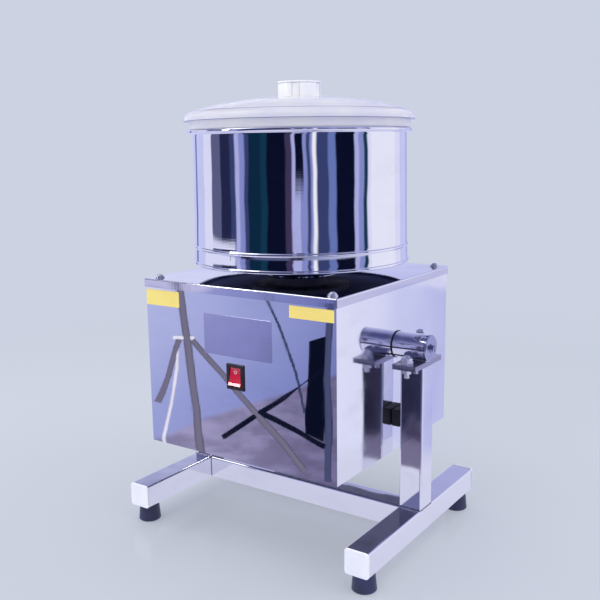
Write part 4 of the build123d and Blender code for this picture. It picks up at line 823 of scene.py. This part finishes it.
# Patches of the studio: headings in degrees, heights as the upward part of a direction of length one
WEDGE_WIDE, WEDGE_HIGH = (-5.5, 3.0), (-0.034, -0.010)
LIFTED_WIDE, LIFTED_HIGH = (-110, -72), (-0.097, -0.087)
BEHIND_DEEP, BEHIND_HIGH = (-0.3, -0.6), (0.12, 0.17)
ROOF_HIGH, LOW_HIGH = (0.30, 0.42), (-0.171, -0.162)
MARBLE_WIDE, MARBLE_SLOPE, MARBLE_START = (-95, -65.6), 0.0048, 0.043
DEEPER_HIGH, MAUVE_WIDE, MAUVE_HIGH = (-0.34, -0.18), (-65.0, 8.0), (-0.347, -0.337)
BOTTOM_HIGH = (-0.41, -0.40)


def stripes(runs):
    """Ramp stops for upright bands of colour with narrow soft edges."""
    stops = []
    for (start, tone), (end, _) in zip(runs, runs[1:]):
        stops += [(start + EDGE, tone), (end - EDGE, tone)]
    low = runs[0][0]
    span = runs[-1][0] - low
    return [((place - low) / span, TONES[tone]) for place, tone in stops]


def way(heading, elevation):
    """Direction of a heading and elevation given in degrees."""
    a, e = math.radians(heading), math.radians(elevation)
    toward = Vector((math.sin(YAW), -math.cos(YAW), 0))
    return (toward * math.cos(a) + level * math.sin(a)) * math.cos(e) + Vector((0, 0, math.sin(e)))


def make_world():
    """Plain light for matt surfaces, the backdrop for the camera and the studio for what mirrors it."""
    world = bpy.data.worlds.new("studio")
    bpy.context.scene.world = world
    world.use_nodes = True
    world.node_tree.nodes.clear()
    t = Tree(world.node_tree)
    heading = t.add("ShaderNodeTexCoord").outputs["Generated"]

    def along(direction):
        """How far the heading goes along a direction."""
        node = t.add("ShaderNodeVectorMath", {0: heading, 1: direction}, operation="DOT_PRODUCT")
        return node.outputs["Value"]

    sideways, front = along(level), along(way(0, 0))
    height = t.part(heading, 2)
    degrees = t.times(t.math("ARCTAN2", sideways, front), 180 / math.pi)
    sway = t.math("SUBTRACT", t.noise(t.stretch(heading, (2, 2, 15)), 1.0, 1.0), 0.5)
    swayed = t.math("ADD", degrees, t.times(sway, SWAY))
    # Around: the two sides, a dark wedge, a pale patch and the wall behind
    left = t.ramp(t.math("ADD", t.math("DIVIDE", swayed, 180), 1.0, clamp=True), stripes(LEFT_ROUND))
    right_side = t.ramp(t.math("DIVIDE", swayed, 180, clamp=True), stripes(RIGHT_ROUND))
    around = t.blend(t.spread(swayed, -0.4, 0.4), left, right_side)
    wedge = t.times(t.between(swayed, *WEDGE_WIDE, 0.8), t.spread(height, *WEDGE_HIGH))
    around = t.blend(wedge, around, tint(TONES["night"]))
    lifted = t.times(t.between(degrees, *LIFTED_WIDE, 1.5), t.spread(height, *LIFTED_HIGH, 1.0, 0.0))
    around = t.blend(lifted, around, tint(TONES["pale"]))
    behind = t.times(t.spread(front, *BEHIND_DEEP, 0.0, 1.0), t.spread(height, *BEHIND_HIGH))
    wall = t.blend(t.spread(sideways, -0.2, 0.2), tint("dee1fa"), tint("bcbfec"))
    around = t.blend(behind, around, wall)
    # Overhead: the key light and what surrounds it
    off = t.math("DIVIDE", t.math("ARCCOSINE", along(way(*KEY_LIGHT))), math.pi)
    roof = t.ramp(off, [(place / 180, code) for place, code in OVERHEAD])
    around = t.blend(t.spread(height, *ROOF_HIGH), around, roof)
    # Low down: the bands, a marbled slope at the left and mauve under the front
    low = t.ramp(t.math("ADD", t.math("DIVIDE", degrees, 360), 0.5, clamp=True),
                 [((place + 180) / 360, code) for place, code in LOW_ROUND])
    marble = t.blend(t.spread(t.noise(t.stretch(heading, (22, 22, 60)), 1.0, 4.0, 0.6), 0.35, 0.65),
                     tint("8d87a8"), tint("a8a2c6"))
    marble = t.blend(t.spread(degrees, -77, -66), marble, tint("c6c4d0"), "MULTIPLY")
    slope = t.math("ADD", t.times(degrees, MARBLE_SLOPE), MARBLE_START)
    under = t.spread(t.math("SUBTRACT", height, slope), -0.004, 0.004, 1.0, 0.0)
    marbled = t.times(under, t.between(degrees, *MARBLE_WIDE, 0.5))
    deeper = t.times(t.spread(height, *DEEPER_HIGH, 1.0, 0.0), t.between(degrees, *MARBLE_WIDE, 0.5))
    low = t.blend(deeper, low, tint("dcdff0"), "MULTIPLY")
    low = t.blend(marbled, low, marble)
    mauve = t.times(t.spread(height, *MAUVE_HIGH, 1.0, 0.0), t.between(degrees, *MAUVE_WIDE, 1.0))
    low = t.blend(mauve, low, tint("7b7592"))
    low = t.blend(t.spread(height, *BOTTOM_HIGH, 1.0, 0.0), low, tint("dcdcf8"))
    mirrored = t.blend(t.spread(height, *LOW_HIGH, 1.0, 0.0), around, low)
    # Who sees which
    rays = t.add("ShaderNodeLightPath").outputs
    through = rays["Is Transmission Ray"]
    bounced = t.times(rays["Is Glossy Ray"], t.math("SUBTRACT", 1.0, through))
    straight = t.math("MAXIMUM", rays["Is Camera Ray"], through, clamp=True)
    colour = t.blend(bounced, t.blend(straight, tint("eff0f7"), tint(BACKDROP)), mirrored)
    core = t.spread(off, KEY_HALF * 0.8 / 180, KEY_HALF / 180, KEY_STRENGTH, 0.0)
    strength = t.math("ADD", t.times(bounced, core), 1.0)
    background = t.add("ShaderNodeBackground", {"Color": colour, "Strength": strength})
    t.add("ShaderNodeOutputWorld", {"Surface": background.outputs[0]})


make_world()

FLOOR_HALF, FLOOR_FADE = 9.0, (0.7, 1.6)
FLOOR_GLOW, FLOOR_SHEEN = 0.45, 0.08
# What the steel mirrors of the floor: how much, from which depth back, and out to which radius
FLOOR_MIRRORED, MIRRORED_BACK, MIRRORED_OUT = 0.82, (-0.25, -0.24), (0.36, 0.48)


def make_floor():
    """Pale floor that fades into the backdrop, keeps the shadow and mirrors the feet faintly."""
    h = FLOOR_HALF
    floor = pane("floor", [(-h, -h, 0), (h, -h, 0), (h, h, 0), (-h, h, 0)])
    material, t = blank("floor")
    place = t.add("ShaderNodeTexCoord").outputs["Object"]
    reach = t.add("ShaderNodeVectorMath", {0: place}, operation="LENGTH").outputs["Value"]
    matt = t.add("ShaderNodeBsdfDiffuse", {"Color": tint("c0c5cb")}).outputs[0]
    gloss = t.add("ShaderNodeBsdfGlossy", {"Color": tint("ffffff"), "Roughness": 0.12}).outputs[0]
    haze = t.add("ShaderNodeEmission", {"Color": tint(BACKDROP)}).outputs[0]
    pale = t.add("ShaderNodeEmission", {"Color": tint("e2e3f8")}).outputs[0]
    gone = t.add("ShaderNodeBsdfTransparent").outputs[0]
    rays = t.add("ShaderNodeLightPath").outputs
    bounced = t.times(rays["Is Glossy Ray"], t.math("SUBTRACT", 1.0, rays["Is Transmission Ray"]))
    outside = t.math("MAXIMUM", t.spread(t.part(place, 1), *MIRRORED_BACK, 1.0, 0.0),
                     t.spread(reach, *MIRRORED_OUT))

    def mix(factor, a, b):
        """Two shaders mixed by a factor."""
        return t.add("ShaderNodeMixShader", {0: factor, 1: a, 2: b}).outputs[0]

    sheet = mix(FLOOR_SHEEN, matt, gloss)
    near = mix(t.times(rays["Is Camera Ray"], FLOOR_GLOW), sheet, haze)
    faded = mix(t.spread(reach, *FLOOR_FADE), near, haze)
    lit = mix(t.times(bounced, FLOOR_MIRRORED), faded, pale)
    seen = mix(t.times(bounced, outside), lit, gone)
    t.add("ShaderNodeOutputMaterial", {"Surface": seen})
    dress(floor, material)


make_floor()


# Lamp stands and a dark box of the studio, below and in front of the table, seen only in the polished panels
STUDIO = {
    "mauve_stand": ("7b778c", [
        (0.013, [(-1.176, -1.305, 0.138), (-1.150, -1.295, -0.012), (-1.114, -1.280, -0.167),
                 (-1.073, -1.258, -0.318), (-1.027, -1.225, -0.470)]),
        (0.010, [(-1.148, -1.270, -0.104), (-1.156, -1.226, -0.206), (-1.168, -1.180, -0.287)]),
        (0.010, [(-1.115, -1.298, -0.109), (-0.992, -1.350, -0.264), (-0.835, -1.398, -0.431),
                 (-0.768, -1.409, -0.507)])]),
    "slate_stand": ("4c5276", [
        (0.011, [(-0.776, -1.587, 0.008), (-0.769, -1.555, -0.132), (-0.759, -1.527, -0.239),
                 (-0.720, -1.482, -0.418), (-0.699, -1.440, -0.535)])]),
    "pale_cable": ("f4f2ff", [
        (0.006, [(-1.149, -1.266, -0.113), (-1.140, -1.246, -0.195), (-1.138, -1.217, -0.270),
                 (-1.132, -1.167, -0.391), (-1.122, -1.164, -0.418)]),
        (0.008, [(-1.163, -1.258, -0.097), (-1.111, -1.304, -0.103)])]),
    "dark_stand": ("11162c", [
        (0.008, [(-1.000, -1.284, -0.401), (-0.862, -1.440, -0.286), (-0.777, -1.525, -0.212)]),
        (0.009, [(-0.923, -1.378, -0.329), (-0.833, -1.424, -0.379), (-0.726, -1.472, -0.432)])]),
    "slate_cable": ("3c4466", [
        (0.004, [(-0.960, -1.466, 0.037), (-0.913, -1.475, -0.068), (-0.848, -1.477, -0.214),
                 (-0.797, -1.467, -0.335)])]),
}
DARK_BOX = [(-0.879, -1.606, -0.150), (-0.834, -1.640, -0.134), (-0.784, -1.557, -0.454),
            (-0.841, -1.530, -0.429)]
# Small bright softbox that the rocker's lower lip mirrors
SOFTBOX = [(-0.530, -0.611, 0.545), (-0.462, -0.672, 0.545), (-0.389, -0.588, 0.760), (-0.445, -0.538, 0.760)]
SOFTBOX_STRENGTH = 12.0


def only_mirrored(piece, code, strength=1.0):
    """Lights a piece of the studio by its own glow, with painted shade a little darker towards its edges, and
    leaves it in mirror images alone.
    """
    material, t = blank(piece.name.replace("_", " "))
    edge = t.add("ShaderNodeLayerWeight", {"Blend": 0.5}).outputs["Facing"]
    tone = t.blend(t.spread(edge, 0.15, 0.8), tint(code), t.blend(1.0, tint(code), tint("8f8c9c"), "MULTIPLY"))
    shine = t.add("ShaderNodeEmission", {"Color": tone, "Strength": strength})
    t.add("ShaderNodeOutputMaterial", {"Surface": shine.outputs[0]})
    dress(piece, material)
    for ray in ("camera", "diffuse", "transmission", "volume_scatter", "shadow"):
        setattr(piece, "visible_" + ray, False)


def rods(name, runs, sides=10):
    """Round rods along bent lines, in metres."""
    points, faces = [], []
    for radius, line in runs:
        line = [Vector(p) for p in line]
        first = len(points)
        for k, p in enumerate(line):
            run = (line[min(k + 1, len(line) - 1)] - line[max(k - 1, 0)]).normalized()
            one = run.orthogonal().normalized()
            two = run.cross(one)
            for s in range(sides):
                a = 2 * math.pi * s / sides
                points.append(tuple(p + (one * math.cos(a) + two * math.sin(a)) * radius))
        faces += [[first + c for c in face] for face in walls(len(line), sides)]
    mesh = bpy.data.meshes.new(name)
    mesh.from_pydata(points, [], faces)
    return link(name, mesh)


for name, (code, runs) in STUDIO.items():
    only_mirrored(rods(name, runs), code)
only_mirrored(pane("dark_box", DARK_BOX), "0b1024")
only_mirrored(pane("softbox", SOFTBOX), "ffffff", SOFTBOX_STRENGTH)


def area_lamp(name, place, target, size, power):
    """A white square lamp that lights the object and isn't seen or mirrored."""
    lamp = bpy.data.lights.new(name, "AREA")
    lamp.size = size
    lamp.energy = power
    holder = link(name, lamp)
    holder.location = place
    holder.rotation_euler = (Vector(target) - Vector(place)).to_track_quat("-Z", "Y").to_euler()
    holder.visible_camera = False
    holder.visible_glossy = False


area_lamp("overhead softbox", (0.1, -0.1, 1.9), (0, 0, 0.2), 1.5, 7)
area_lamp("front softbox", (-0.4, -1.9, 0.9), (0, 0, 0.3), 1.2, 9)
area_lamp("right softbox", (1.6, 0.3, 0.9), (0, 0, 0.3), 1.0, 8)
area_lamp("left softbox", (-1.5, -0.6, 1.1), (0, 0, 0.3), 0.9, 6)
